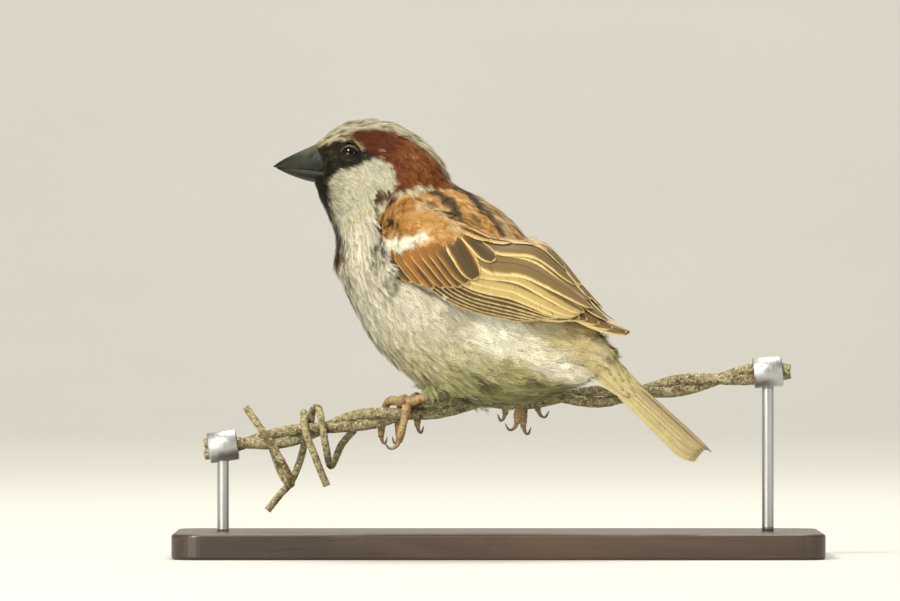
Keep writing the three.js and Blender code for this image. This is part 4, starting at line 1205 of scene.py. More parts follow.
def unwrap_skin(skin, where, region, up):
    """Lays each coat region out by section and angle round the body, so that it fills its own map."""
    first = np.zeros(len(region))
    last = np.full(len(region), float(LAST_SECTION))
    for number, (_, low, high) in enumerate(COAT_BANDS):
        banded = (region == 2 * number) | (region == 2 * number + 1)
        first[banded], last[banded] = low, high
    along_body = (where.section - first) / (last - first)
    place = np.stack([up / 180, np.clip(along_body, 0, 1)], 1)
    wing = region >= WING_REGION
    place[wing] = np.stack([where.u[wing] / SOFT_WING[-1][0], where.v[wing]], 1)
    place = 0.01 + 0.98 * np.clip(place, 0, 1)
    store(skin, "unwrap", np.concatenate([place, np.zeros((len(place), 1))], 1), "FLOAT_VECTOR")


def eye_centre(side):
    """The middle of an eye, in millimetres in the part's frame."""
    out = side * EYE_APART_MM / 2
    place = [
        EYE_PLACE_MM[0] - out * math.sin(BILL_TURN),
        HEAD_MIDDLE_MM + out * math.cos(BILL_TURN),
        EYE_PLACE_MM[1],
    ]
    return to_world([place])[0] / MM


# ---------- the coat of tufts

PATCH_ON_MAP = 0.003
TUFT_KINDS = 4
FINE_PAIRS = 4
FEATHER_PAIRS = 5


def tuft_mesh(name, pairs, rng):
    """A small feather one unit long and one wide: barbs that leave a shaft and curve to its tip."""
    points, faces = [], []

    def strip(line, widths):
        start = len(points)
        for (x, y, z), width in zip(line[:-1], widths):
            points.extend([(x - width, y, z), (x + width, y, z)])
        points.append(line[-1])
        for k in range(len(line) - 2):
            a = start + 2 * k
            faces.append((a, a + 1, a + 3, a + 2))
        faces.append((len(points) - 3, len(points) - 2, len(points) - 1))

    def height(x, y):
        return 0.1 * math.sin(min(y, 1.0) * 2.6) - 0.16 * x * x

    for pair in range(pairs):
        root = 0.05 + 0.72 * pair / (pairs - 1)
        for side in (-1, 1):
            reach = 0.5 * math.sin(math.pi * (0.3 + 0.52 * pair / (pairs - 1))) * rng.uniform(0.8, 1.12)
            tip_y = root + 0.34 + rng.uniform(-0.05, 0.06)
            bend = rng.uniform(0.45, 0.62)
            mid = (side * reach * bend, root + 0.14, height(reach * bend, root + 0.14))
            end = (side * reach, tip_y, height(reach, tip_y) - rng.uniform(0, 0.03))
            strip([(0, root, height(0, root)), mid, end], (0.036, 0.062))
    strip([(0, 0, 0), (0, 0.55, height(0, 0.55)), (rng.uniform(-0.04, 0.04), 1.04, height(0, 1) - 0.02)],
          (0.028, 0.04))
    mesh = mesh_from(name, points, faces)
    layer = mesh.uv_layers.new(name="tuft")
    corner = np.array([i for face in faces for i in face])
    flat = np.array(points)[:, :2] * (1, 0.9) + (0.5, 0.03)
    layer.uv.foreach_set("vector", flat[corner].astype(np.float32).ravel())
    store(mesh, "tip", np.clip(np.array(points)[:, 1], 0, 1))
    return mesh


def tuft_set(name, pairs, seed):
    """A few tufts to choose from, in a collection that stays outside the scene."""
    rng = np.random.default_rng(seed)
    group = bpy.data.collections.new(name)
    for kind in range(TUFT_KINDS):
        group.objects.link(bpy.data.objects.new(f"{name}_{kind}", tuft_mesh(f"{name}_{kind}", pairs, rng)))
    return group


def coat_tree():
    """Scatters tufts over one region of the skin and turns each to the lie of the coat."""
    tree = bpy.data.node_groups.new("coat_of_tufts", "GeometryNodeTree")
    for name, kind in (
        ("Skin", "Geometry"), ("Tufts", "Collection"), ("Region", "Int"), ("Density Share", "Float"),
        ("Seed", "Int"), ("Patch Size", "Float"), ("Finish", "Material"),
    ):
        tree.interface.new_socket(name, in_out="INPUT", socket_type=f"NodeSocket{kind}")
    tree.interface.new_socket("Coat", in_out="OUTPUT", socket_type="NodeSocketGeometry")
    g = Graph(tree)
    given = g.add("NodeGroupInput").outputs

    def live(sockets, name=None):
        """The sockets that a node shows in its present mode."""
        return [s for s in sockets if s.enabled and name in (None, s.name)]

    def named(name, kind="FLOAT"):
        node = g.add("GeometryNodeInputNamedAttribute", {"Name": name}, data_type=kind)
        return live(node.outputs, "Attribute")[0]

    def pair_of(node, first, second):
        for socket, value in zip(live(node.inputs), (first, second)):
            g.feed(socket, value)
        return node

    def chance(low, high, offset):
        node = pair_of(g.add("FunctionNodeRandomValue", data_type="FLOAT"), low, high)
        g.feed(node.inputs["Seed"], g.plus(given["Seed"], float(offset)))
        return live(node.outputs)[0]

    chosen = g.add("FunctionNodeCompare", data_type="INT", operation="EQUAL")
    pair_of(chosen, named("region", "INT"), given["Region"])
    scatter = g.add("GeometryNodeDistributePointsOnFaces", {
        "Mesh": given["Skin"], "Selection": chosen.outputs["Result"],
        "Density": g.times(named("tuft_count"), given["Density Share"]), "Seed": given["Seed"],
    })

    def stored(geometry, name, data_type, domain):
        return g.add("GeometryNodeStoreNamedAttribute", {"Geometry": geometry, "Name": name},
                     data_type=data_type, domain=domain)

    facing = stored(scatter.outputs["Points"], "tone", "FLOAT", "POINT")
    g.feed(live(facing.inputs, "Value")[0], chance(0.0, 1.0, 1))
    aligned = g.add("FunctionNodeAxesToRotation", {
        "Primary Axis": named("lie", "FLOAT_VECTOR"), "Secondary Axis": scatter.outputs["Normal"],
    }, primary_axis="Y", secondary_axis="Z")
    swirl = g.add("ShaderNodeTexNoise", {"Scale": 210.0, "Detail": 1.5, "Roughness": 0.5})
    g.feed(swirl.inputs["Vector"], g.add("GeometryNodeInputPosition"))
    yaw = g.plus(g.times(g.minus(swirl.outputs["Fac"], 0.5), 1.7), chance(-0.16, 0.16, 2))
    pitch = g.times(named("lift"), chance(0.35, 1.25, 3))
    turn = g.xyz(pitch, chance(-0.22, 0.22, 4), yaw)
    local = g.add("FunctionNodeRotateRotation", {
        "Rotation": aligned,
        "Rotate By": g.add("FunctionNodeEulerToRotation", {0: turn}),
    }, rotation_space="LOCAL")
    long = g.times(named("tuft_length"), chance(0.78, 1.2, 5))
    wide = g.times(named("tuft_width"), chance(0.8, 1.2, 6))
    scale = g.xyz(wide, long, long)
    kinds = g.add("GeometryNodeCollectionInfo", {
        "Collection": given["Tufts"], "Separate Children": True, "Reset Children": True,
    })
    pick = pair_of(g.add("FunctionNodeRandomValue", data_type="INT"), 0, TUFT_KINDS - 1)
    placed = g.add("GeometryNodeInstanceOnPoints", {
        "Points": facing, "Instance": kinds, "Pick Instance": True,
        "Instance Index": live(pick.outputs)[0],
        "Rotation": local, "Scale": scale,
    })
    real = g.add("GeometryNodeRealizeInstances", {"Geometry": placed})

    def vector(operation, inputs):
        return g.add("ShaderNodeVectorMath", inputs, operation=operation)

    centred = vector("SUBTRACT", {0: named("tuft", "FLOAT_VECTOR"), 1: (0.5, 0.5, 0)})
    patch = vector("SCALE", {0: centred, "Scale": given["Patch Size"]})
    at_root = vector("ADD", {0: named("unwrap", "FLOAT_VECTOR"), 1: patch})
    mapped = stored(real, "OFBake", "FLOAT2", "CORNER")
    g.feed(live(mapped.inputs, "Value")[0], at_root)
    dressed = g.add("GeometryNodeSetMaterial", {"Geometry": mapped, "Material": given["Finish"]})
    g.add("NodeGroupOutput", {0: dressed})
    return tree


def set_inputs(modifier, values):
    """Sets a Geometry Nodes modifier's inputs by their names, through their identifiers."""
    for item in modifier.node_group.interface.items_tree:
        if item.in_out == "INPUT" and item.name in values:
            modifier[item.identifier] = values[item.name]


def grow_coat(name, skin, tree, tufts, region, share, seed, finish):
    """One piece of the coat as a plain mesh."""
    holder = put(f"{name}_holder", skin)
    modifier = holder.modifiers.new("coat", "NODES")
    modifier.node_group = tree
    set_inputs(modifier, {
        "Tufts": tufts, "Region": region, "Density Share": share, "Seed": seed,
        "Patch Size": PATCH_ON_MAP, "Finish": finish,
    })
    coat = applied(holder)
    bpy.data.objects.remove(holder)
    coat.name = name
    for extra in ("lie", "unwrap", "region", "tuft_length", "tuft_width", "tuft_count", "lift"):
        if extra in coat.attributes:
            coat.attributes.remove(coat.attributes[extra])
    return show(name, coat, finish)


# ---------- vanes

VANE_ROWS = 24
VANE_COLUMNS = 9
VANE_THICKNESS_MM = 0.12


def vane(pile, face, start, end, half, look, away, height=0.0, camber=0.3, roll=0.0, bend=0.0,
         outer=1.0, tip=0.26, rows=VANE_ROWS, fray=0.05, dip=0.25, root_end=0.26, seed=0):
    """One quill feather on a surface, as a thin closed shell.

    face gives points from two coordinates, start and end are the feather's ends in them, away is
    roughly outwards, outer is the share of the half width on the web that turns from the body's middle.
    """
    rng = np.random.default_rng(seed)
    t = np.linspace(0, 1, rows)
    start, end = np.array(start, float), np.array(end, float)
    p = start[0] + (end[0] - start[0]) * t
    q = start[1] + (end[1] - start[1]) * t + bend * np.sin(math.pi * t)
    step = 0.004 * max(abs(end[0] - start[0]), 0.2)
    centre = face(p, q)
    over_p = (face(p + step, q) - face(p - step, q)) / (2 * step)
    over_q = (face(p, q + step) - face(p, q - step)) / (2 * step)
    normal = unit(np.cross(over_p, over_q))
    normal *= np.sign(normal @ np.array(away, float))[:, None]
    run = unit(np.gradient(centre, axis=0))
    across = unit(np.cross(normal, run))
    across *= np.sign(np.sum(across * over_q, axis=1))[:, None]
    joint = np.stack([over_p, over_q], 2)
    steps = np.einsum("nij,nj->ni", np.linalg.pinv(joint), across)
    root = ease(t, -0.12, root_end)
    round_tip = np.sqrt(np.clip(1 - (np.clip(t - (1 - tip), 0, None) / tip) ** 2, 0.012, 1))
    width = half * root * round_tip
    c = np.linspace(-1, 1, VANE_COLUMNS)
    wave = np.zeros((rows, 2))
    for beat in (2.3, 5.1, 11.0):
        wave += np.sin(2 * math.pi * beat * t[:, None] + rng.uniform(0, 2 * math.pi, 2))
    ragged = 1 + fray * np.where(c < 0, wave[:, :1], wave[:, 1:]) * np.abs(c) ** 3
    share = np.where(c < 0, c * outer, c)[None, :] * width[:, None] * ragged
    top = face(p[:, None] + steps[:, :1] * share, q[:, None] + steps[:, 1:] * share)
    cup = camber * (1 - c[None, :] ** 2) * root[:, None] - roll * c[None, :] * root[:, None]
    rise = height + cup - dip * (1 - root[:, None])
    top = top + normal[:, None, :] * rise[..., None]
    under = top - normal[:, None, :] * (VANE_THICKNESS_MM * (1 - 0.5 * np.abs(c)))[None, :, None]
    columns = len(c)
    points = to_world(np.concatenate([top.reshape(-1, 3), under.reshape(-1, 3)]))
    below = rows * columns
    faces = []
    handed = np.cross(over_p[0], over_q[0]) @ normal[0] > 0

    def quad(a, b, d, e):
        faces.append((a, b, d, e) if handed else (e, d, b, a))

    for i in range(rows - 1):
        for k in range(columns - 1):
            a = i * columns + k
            quad(a, a + columns, a + columns + 1, a + 1)
            quad(below + a, below + a + 1, below + a + columns + 1, below + a + columns)
        for a, turn in ((i * columns, 1), (i * columns + columns - 1, 0)):
            b = a + columns
            quad(*((a, below + a, below + b, b) if turn else (a, b, below + b, below + a)))
    for k in range(columns - 1):
        a, z = k, (rows - 1) * columns + k
        quad(a, a + 1, below + a + 1, below + a)
        quad(z, below + z, below + z + 1, z + 1)
    place = np.stack(np.broadcast_arrays((c * 0.5 + 0.5)[None, :], t[:, None]), -1).reshape(-1, 2)
    reach = float(np.linalg.norm(np.diff(centre, axis=0), axis=1).sum())
    web, patch, fringe, start_share, patch_half, fringe_width = look
    pile.add(points, faces, {
        "web": (*web, start_share), "patch": (*patch, patch_half), "fringe": (*fringe, fringe_width),
        "size": [reach],
    }, np.concatenate([place, place]))


def tinted(tone, amount, rng):
    """A colour a little lighter or darker."""
    return tuple(np.clip(np.array(tone) * (1 + amount * rng.uniform(-1, 1)), 0, 1))


# Ends of the feathers of each row, as u, v on the wing's face, from the wing's bend inwards.
PRIMARY_BASES = [
    (0.24, 0.0), (0.25, 0.02), (0.255, 0.04), (0.26, 0.06), (0.265, 0.075), (0.27, 0.09), (0.28, 0.5),
]
PRIMARY_TIPS = [
    (1.0, 0.5), (0.935, 0.46), (0.878, 0.4), (0.83, 0.3), (0.8, 0.2), (0.77, 0.12), (0.905, 0.8),
]
SECONDARY_BASES = [
    (0.24, 0.02), (0.25, 0.05), (0.26, 0.09), (0.27, 0.13), (0.28, 0.17), (0.29, 0.22),
    (0.3, 0.27), (0.31, 0.33), (0.32, 0.4),
]
SECONDARY_TIPS = [
    (0.645, 0.02), (0.675, 0.04), (0.7, 0.065), (0.722, 0.09), (0.742, 0.12), (0.76, 0.155),
    (0.778, 0.205), (0.795, 0.27), (0.812, 0.4),
]
TERTIALS = [  # base, tip, bend, half width
    ((0.38, 0.75), (0.8, 0.95), -0.1, 4.2), ((0.37, 0.52), (0.832, 0.74), -0.11, 3.9),
    ((0.38, 0.8), (0.745, 0.97), -0.11, 3.8), ((0.42, 1.02), (0.675, 1.03), -0.04, 2.7),
]
GREATER_BASES = [
    (-0.01, 0.09), (0.035, 0.243), (0.082, 0.304), (0.112, 0.339), (0.146, 0.389), (0.175, 0.441),
    (0.196, 0.5), (0.219, 0.549), (0.275, 0.69), (0.308, 0.82),
]
GREATER_TIPS = [
    (0.175, -0.02), (0.212, -0.015), (0.252, -0.01), (0.294, 0.0), (0.332, 0.05), (0.364, 0.095),
    (0.39, 0.13), (0.414, 0.195), (0.438, 0.265), (0.476, 0.505),
]
GREATER_HALF_MM = [2.1, 2.3, 2.2, 2.2, 2.2, 2.2, 2.2, 2.4, 3.0, 2.6]
GREATER_DARK = [  # where the dark centre starts along the feather, and its half width
    (0.0, 0.95), (0.45, 0.55), (0.7, 0.2), (0.62, 0.28), (0.58, 0.36), (0.52, 0.44), (0.5, 0.46),
    (0.45, 0.5), (0.36, 0.66), (0.34, 0.7),
]
REAR_SCAPULARS = [  # base, tip, half width, share of the pale tone
    ((0.47, 0.99), (0.6, 0.96), 1.9, 0.5), ((0.43, 0.94), (0.56, 0.9), 2.0, 0.6),
    ((0.39, 0.97), (0.52, 0.95), 2.0, 0.2), ((0.36, 0.88), (0.49, 0.85), 2.1, 0.25),
    ((0.32, 0.92), (0.44, 0.91), 2.0, 0.1), ((0.3, 0.78), (0.43, 0.82), 2.1, 0.0),
]


def wing_feathers(side, tones, rng):
    """Piles of one wing's feathers: the flight feathers, and the coverts and scapulars over them."""
    quills, coverts = Pile(), Pile()
    away = (0, side, 0.35)
    fringe = tones.fringe
    soft_fringe = 0.25 * np.array(tones.covert) + 0.75 * np.array(fringe)
    buff_web = np.array((1.1, 1.06, 0.9)) * (0.46 * np.array(fringe) + 0.2 * np.array(tones.quill))

    def face(u, v):
        return wing_face(u, v, side)

    for i, (start, end) in enumerate(zip(PRIMARY_BASES, PRIMARY_TIPS)):
        look = (tinted(tones.quill, 0.08, rng), tones.quill_dark, fringe, 0.9, 0.1, 0.19)
        vane(quills, face, start, end, 3.7, look, away, height=-1.5 + 0.15 * i, camber=0.1, roll=0.08,
             outer=0.8, tip=0.22, seed=i, fray=0.008)
    for i, (start, end) in enumerate(zip(SECONDARY_BASES, SECONDARY_TIPS)):
        inner = i >= 6
        web = tinted(buff_web if inner else tones.quill, 0.08, rng)
        look = (
            (web, tones.quill, fringe, 0.0, 0.3, 0.15) if inner else
            (web, tones.quill_dark, fringe, 0.0, 0.9, 0.11)
        )
        vane(quills, face, start, end, 3.6 if inner else 3.0, look, away, height=-0.45 + 0.04 * i,
             camber=0.12, roll=0.16, outer=0.8, tip=0.16, seed=20 + i, fray=0.01)
    for i, (start, end, bend, half) in enumerate(TERTIALS):
        web = tinted(0.5 * np.array(tones.quill) + 0.28 * buff_web, 0.06, rng)
        look = (web, tinted(tones.quill, 0.1, rng), fringe, 0.0, (0.7, 0.6, 0.62, 0.8)[i], 0.2)
        vane(quills, face, start, end, half, look, away, height=-0.15 + 0.12 * i, camber=0.22, roll=0.16,
             bend=bend, tip=0.26, seed=40 + i, fray=0.01)
    for i, (start, end) in enumerate(zip(GREATER_BASES, GREATER_TIPS)):
        web = tinted(tones.covert, 0.15, rng)
        begin, dark_half = GREATER_DARK[i]
        look = (web, tones.quill_dark, soft_fringe if i < 8 else fringe, begin, dark_half, 0.15)
        vane(coverts, face, start, end, GREATER_HALF_MM[i], look, away, height=0.02 + 0.05 * i,
             camber=0.22, roll=0.16, tip=0.3, dip=1.7, root_end=0.46, seed=60 + i, fray=0.014)
    for i, (start, end, half, pale) in enumerate(REAR_SCAPULARS):
        tone = tinted(pale * np.array(tones.mantle_pale) + (1 - pale) * np.array(tones.mantle), 0.1, rng)
        edge = tinted(0.7 * np.array(tones.fringe) + 0.15 * np.array(tones.mantle_pale), 0.1, rng)
        look = (tone, tones.streak, edge, 0.1, 0.42 if i % 2 else 0.2, 0.16)
        vane(coverts, face, start, end, half, look, away, height=0.35 + 0.07 * i, camber=0.3, roll=0.1,
             tip=0.5, dip=1.2, root_end=0.5, seed=100 + i, fray=0.03)
    return quills, coverts


def tail_face(run, across):
    """Points of the tail's upper face: run from base to tip, across from -1 to 1."""
    run, across = np.broadcast_arrays(np.asarray(run, float), np.asarray(across, float))
    base, tip = np.array(TAIL_BASE_MM), np.array(TAIL_TIP_MM)
    axis = unit(tip - base)
    up = -unit(np.cross([0.0, 1.0, 0.0], axis))
    right = -np.cross(axis, up)
    cos, sin = math.cos(TAIL_ROLL), math.sin(TAIL_ROLL)
    up, right = up * cos + np.cross(axis, up) * sin, right * cos + np.cross(axis, right) * sin
    half = TAIL_BASE_HALF_MM + (TAIL_HALF_MM - TAIL_BASE_HALF_MM) * ease(run, 0, 0.75)
    away = run[..., None] * np.linalg.norm(tip - base) * axis
    sag = TAIL_ARCH_MM * across**2
    return base + away + (across * half)[..., None] * right - sag[..., None] * up


def tail_up():
    axis = unit(np.array(TAIL_TIP_MM) - np.array(TAIL_BASE_MM))
    return -unit(np.cross([0.0, 1.0, 0.0], axis))


def tail_feathers(tones, rng):
    """Twelve tail feathers, the middle pair on top."""
    pile = Pile()
    pairs = 6
    for k in reversed(range(pairs)):
        for side in (-1, 1):
            share = side * (0.1, 0.27, 0.36, 0.49, 0.56, 0.66)[k]
            web = tinted(tones.tail, 0.12, rng)
            edge = 0.45 * np.array(web) + 0.55 * np.array(tones.tail_edge)
            look = (web, tones.quill, edge, 0.1, 0.06 if k else 0.12, 0.08 + 0.05 * rng.uniform(0, 1))
            vane(pile, tail_face, (-0.06, share * 0.6), (1.0 - 0.003 * (pairs - 1 - k), share), 3.1,
                 look, tail_up(), height=0.35 - 0.16 * k + (0.05 if side > 0 else 0), camber=0.2,
                 roll=0.12 * side, tip=0.13, seed=200 + 2 * k + side, rows=30, fray=0.012)
    return pile


def tail_coverts(tones, rng):
    """The long soft feathers that run from the rump and the vent over the tail's base."""
    pile = Pile()
    up = tail_up()

    def padded(away, thick, end, gap):
        """The tail's face, set off by the soft feathers' depth at its base."""
        def face(run, across):
            run, across = np.broadcast_arrays(np.asarray(run, float), np.asarray(across, float))
            rise = thick * ease(run, end, -0.15) * np.sqrt(np.clip(1 - (0.7 * across) ** 2, 0, 1))
            return tail_face(run, across) + (gap + rise)[..., None] * away
        return face

    for face, away, tone, pale, reach, seed in (
        (padded(-up, UNDERTAIL_DEPTH_MM, 0.5, 0.5), -up, tones.belly, tones.belly, 0.5, 300),
        (padded(up, UPPERTAIL_RISE_MM, 0.45, 0.4), up, tones.rump, tones.tail, 0.52, 340),
    ):
        tone, pale = np.array(tone) * 0.85, np.array(pale)
        for row, back in enumerate((0.0, -0.06, -0.13, -0.2, -0.27)):
            count = 6 - row % 2
            for k, across in enumerate(np.linspace(-0.95, 0.95, count)):
                tints = [tinted(tone, 0.06, rng), tinted(tone, 0.12, rng),
                         tinted(0.65 * tone + 0.35 * pale, 0.05, rng)]
                look = (*tints, 0.2, 0.12, 0.12)
                end = reach + back - 0.07 * abs(across) + 0.035 * rng.uniform(-1, 1)
                vane(pile, face, (-0.3 + back, across * 0.8), (end, across * 0.84), 2.5, look, away,
                     height=0.13 * row + 0.05 * (k % 2), camber=0.15, tip=0.62, seed=seed + 6 * row + k,
                     rows=18, fray=0.03)
    return pile


# ---------- bill and eyes

def bill_half(rise, length_mm, depth_mm):
    """One half of the bill, with its ridge, cutting edge and nostrils."""
    rings, sides = 44, 36
    t = np.linspace(-0.17, 1, rings)
    ahead_share = np.clip(t, 0, 1)
    angle = np.linspace(0, math.pi, sides + 1)
    turn = BILL_TURN
    culmen = 1 - 0.86 * t - 0.14 * t**5 if rise > 0 else 1 - 0.35 * ahead_share - 0.65 * ahead_share**2
    height = 0.25 + depth_mm * np.minimum(culmen, 1.06)
    half = 0.3 + BILL_HALF_WIDTH_MM * (1 - ahead_share**1.35) - 1.2 * np.minimum(t, 0)
    edge = BILL_DROOP_MM * ahead_share**1.4 + rise * 0.05
    ahead = t * length_mm
    points, ridge = [], []
    for i in range(rings):
        keel = 0.06 * height[i] * np.exp(-((angle - math.pi / 2) / 0.22) ** 2)
        lip = -0.1 * half[i] * np.exp(-(np.sin(angle) / 0.16) ** 2)
        beside = (half[i] + lip) * np.cos(angle)
        above = edge[i] + rise * (height[i] * np.sin(angle) ** 0.85 + keel)
        if rise > 0:
            for at in (0.72, 2.42):
                pit = np.exp(-(((ahead[i] - 2.6) / 0.75) ** 2 + ((angle - at) / 0.13) ** 2))
                beside, above = beside * (1 - 0.13 * pit), above - 0.32 * pit
        ring = np.stack([
            BILL_BASE_MM[0] - ahead[i] * math.cos(turn) - beside * math.sin(turn),
            BILL_BASE_MM[1] - ahead[i] * math.sin(turn) + beside * math.cos(turn),
            BILL_BASE_MM[2] + above,
        ], 1)
        middle = ring[[0, -1]].mean(0)
        points.append(np.concatenate([ring, [middle]]))
        # Painted highlight: where the upper half's top near its base takes the lighter sheen colour.
        sheen = ease(t[i], 0.75, 0.15) * ease(np.sin(angle), 0.55, 0.95) * (rise > 0)
        ridge.append(np.concatenate([sheen, [0]]))
    count = sides + 2
    faces = ring_faces(rings, count) + end_faces(rings, count)
    mesh = mesh_from("bill_half", to_world(np.concatenate(points)), faces)
    store(mesh, "ridge", np.concatenate(ridge))
    face_out(mesh)
    return mesh


def face_out(mesh):
    shape = bmesh.new()
    shape.from_mesh(mesh)
    bmesh.ops.recalc_face_normals(shape, faces=shape.faces)
    shape.to_mesh(mesh)
    shape.free()


def eye_axes(side):
    """The eye's centre in metres, its outward direction, and its forward and upward ones."""
    out = unit(np.array([-0.1, side, 0.06]))
    turn = BILL_TURN
    out = np.array([
        out[0] * math.cos(turn) - out[1] * math.sin(turn),
        out[0] * math.sin(turn) + out[1] * math.cos(turn), out[2],
    ])
    out = turned(out)[0]
    ahead = unit(np.cross(out, [0, 0, 1]) * side)
    up = np.cross(ahead, out) * side
    return eye_centre(side) * MM, out, ahead, up * np.sign(up[2])


def on_eye(centre, out, ahead, up, right, rise, radius):
    """A point of a sphere round the eye, given beside its middle line, at a radius; all in millimetres."""
    depth = np.sqrt(np.maximum(radius**2 - right**2 - rise**2, 0.01))
    return centre + (right[:, None] * ahead + rise[:, None] * up + depth[:, None] * out) * MM


def eyeball(side):
    centre, out, ahead, up = eye_axes(side)
    rings, sides = 40, 56
    polar = np.linspace(0, math.pi, rings)[1:-1]
    around = circle(sides)
    points = [centre + out * EYE_RADIUS_MM * MM]
    for a in polar:
        ring = np.cos(a) * out + np.sin(a) * around_axes(around, ahead, up)
        points.extend(centre + ring * EYE_RADIUS_MM * MM)
    points.append(centre - out * EYE_RADIUS_MM * MM)
    faces, last = [], len(points) - 1
    for k in range(sides):
        n = (k + 1) % sides
        faces.append((0, 1 + k, 1 + n))
        faces.append((last, last - sides + n, last - sides + k))
        for i in range(len(polar) - 1):
            a = 1 + i * sides
            faces.append((a + k, a + sides + k, a + sides + n, a + n))
    mesh = mesh_from("eyeball", points, faces)
    store(mesh, "iris", np.concatenate([[0], np.repeat(polar, sides), [math.pi]]))
    face_out(mesh)
    return mesh


LID_OPENING_MM = (2.34, 1.78)
# Share of the way from the opening outwards, and height over the eyeball, round the rim's section.
LID_SECTION = [
    (-0.05, -0.25), (0.0, 0.04), (0.1, 0.26), (0.26, 0.34), (0.46, 0.26), (0.72, 0.22), (1.0, -0.05),
    (1.0, -0.4),
]


def eyelid(side):
    """The ring of bare skin round the eye, with a raised rim, an almond opening and small folds."""
    centre, out, ahead, up = eye_axes(side)
    around = circle(120)
    wide, high = LID_OPENING_MM
    opening = np.stack([wide * np.cos(around), high * np.sin(around) * (1 - 0.12 * np.cos(around) ** 2)], 1)
    points, rims = [], []
    for share, lift in LID_SECTION:
        spread = 1 + 0.36 * share
        folds = 0.045 * np.sin(14 * around + 9 * share) * (0.1 < share < 0.9)
        right, rise = opening[:, 0] * spread, opening[:, 1] * (spread + 0.16 * share)
        shell = EYE_RADIUS_MM + lift + folds
        points.append(on_eye(centre, out, ahead, up, right, rise, shell))
        rims.append(np.full(len(around), math.exp(-(((share - 0.16) / 0.13) ** 2))))
    faces = ring_faces(len(LID_SECTION), len(around), closed=True)
    mesh = mesh_from("eyelid", np.concatenate(points), faces)
    store(mesh, "rim", np.concatenate(rims))
    face_out(mesh)
    return mesh


# ---------- legs

# Along the claw: how far towards its hook, and how high over the toe's end.
NAIL_MM = [(0.0, 0.7), (0.12, -0.4), (0.55, -1.6), (1.2, -1.75), (1.75, 0.0)]
NAIL_RADII_MM = [CLAW_RADIUS_MM, CLAW_RADIUS_MM * 0.92, CLAW_RADIUS_MM * 0.62, 0.3, 0.07]
TOE_TAPER = (1.05, 0.95, 0.8, 0.92, 0.62)
LEG_TAPER = (1.12, 0.86, 1.1)
LEG_PLATES, TOE_PLATES = 8, 11
LEG_IN_THIGH_MM = 2.2


def toe_line(grip, name, toe):
    """A toe's line over the wire, from the ankle to its claw."""
    start, spread, drop, _ = toe
    places = (
        [(0, -4.9, 0.9), (0.25, -5.3, -1.6), (0.75, -5.2, -drop * 0.68), (1, -4.8, -drop)]
        if name == "hind" else
        [(0, -2.4, GRIP_REACH_MM * 0.94), (0.5, 0.6, GRIP_REACH_MM * 1.04),
         (0.8, 3.7, GRIP_REACH_MM * 0.55), (0.95, 4.5, -0.9), (1, 3.6, -drop)]
    )
    return np.array([perch_point(grip, (start + (spread - start) * s, y, z)) for s, y, z in places])


def scuted(plates, depth):
    """A ripple of overlapping plates along a leg or toe, with pads between them beneath."""
    def ripple(t, angles):
        saw = (t * plates) % 1.0
        return depth * (1 - saw) ** 2 * (0.6 + 0.4 * np.cos(angles)) - depth * 0.4
    return ripple


def add_bar(pile, points, radii, sides, rings, ripple=None, plates=0, cap=0.6):
    places, faces = swept(np.array(points) * MM, np.array(radii) * MM, sides, rings, ripple, cap)
    t = np.concatenate([np.repeat(np.linspace(0, 1, rings), sides), [0, 1]])
    plate = 1 - np.abs(((t * plates) % 1.0) * 2 - 1) if plates else np.ones(len(t))
    pile.add(places, faces, {"plate": plate[:, None], "tip": t[:, None]})


def leg_pieces(foot):
    """Piles for one leg: the scaled leg and toes, and the claws."""
    scales, claws = Pile(), Pile()
    ankle = perch_point(foot["grip"], ANKLE_MM)
    top = np.array(foot["knee"], float)
    shin = unit(top - ankle)
    heel = ankle + shin * HEEL_RISE_MM * 0.2
    inside = top + shin * LEG_IN_THIGH_MM
    radii = [LEG_RADIUS_MM * r for r in LEG_TAPER]
    add_bar(scales, [heel, (heel + top) / 2, inside], radii, 28, 120, scuted(LEG_PLATES, 0.1), LEG_PLATES)
    for name, toe in foot["toes"].items():
        line = toe_line(foot["grip"], name, toe)
        line[0] = line[0] * 0.4 + ankle * 0.6
        radii = [r * TOE_RADIUS_MM for r in TOE_TAPER]
        add_bar(scales, line, radii, 20, 96, scuted(TOE_PLATES, 0.13), TOE_PLATES, 0.8)
        nail = [line[-1] + (reach * toe[3], 0, rise) for reach, rise in NAIL_MM]
        add_bar(claws, nail, NAIL_RADII_MM, 16, 36)
    return scales, claws


# ---------- perch and stand

PIT_DEPTH = 0.05  # share of the radius
PIT_WAVES = 14
STRAND_SIDES, STRAND_RINGS = 24, 420
BARB_SIDES, BARB_RINGS = 22, 150


def strand_line(phase):
    x = np.linspace(WIRE_LINE_MM[0][0], WIRE_LINE_MM[-1][0], 160)
    angle = phase + math.pi * (x - TWIST_START_MM) / HALF_TWIST_MM
    across, up = STRAND_OFFSET_MM * np.cos(angle), STRAND_OFFSET_MM * np.sin(angle)
    return np.stack([x, -across, wire_middle(x)[:, 2] - up], 1)


def pitted(seed):
    """Small uneven lumps and pits of old wire."""
    rng = np.random.default_rng(seed)
    along_wire, round_wire = rng.uniform(60, 420, PIT_WAVES), rng.integers(1, 5, PIT_WAVES)
    shift, size = rng.uniform(0, 2 * math.pi, PIT_WAVES), rng.uniform(0.2, 1.0, PIT_WAVES)

    def ripple(t, angles):
        parts = zip(along_wire, round_wire, shift, size)
        return PIT_DEPTH * sum(s * np.sin(w * t + a * angles + p) for w, a, p, s in parts) / 4
    return ripple


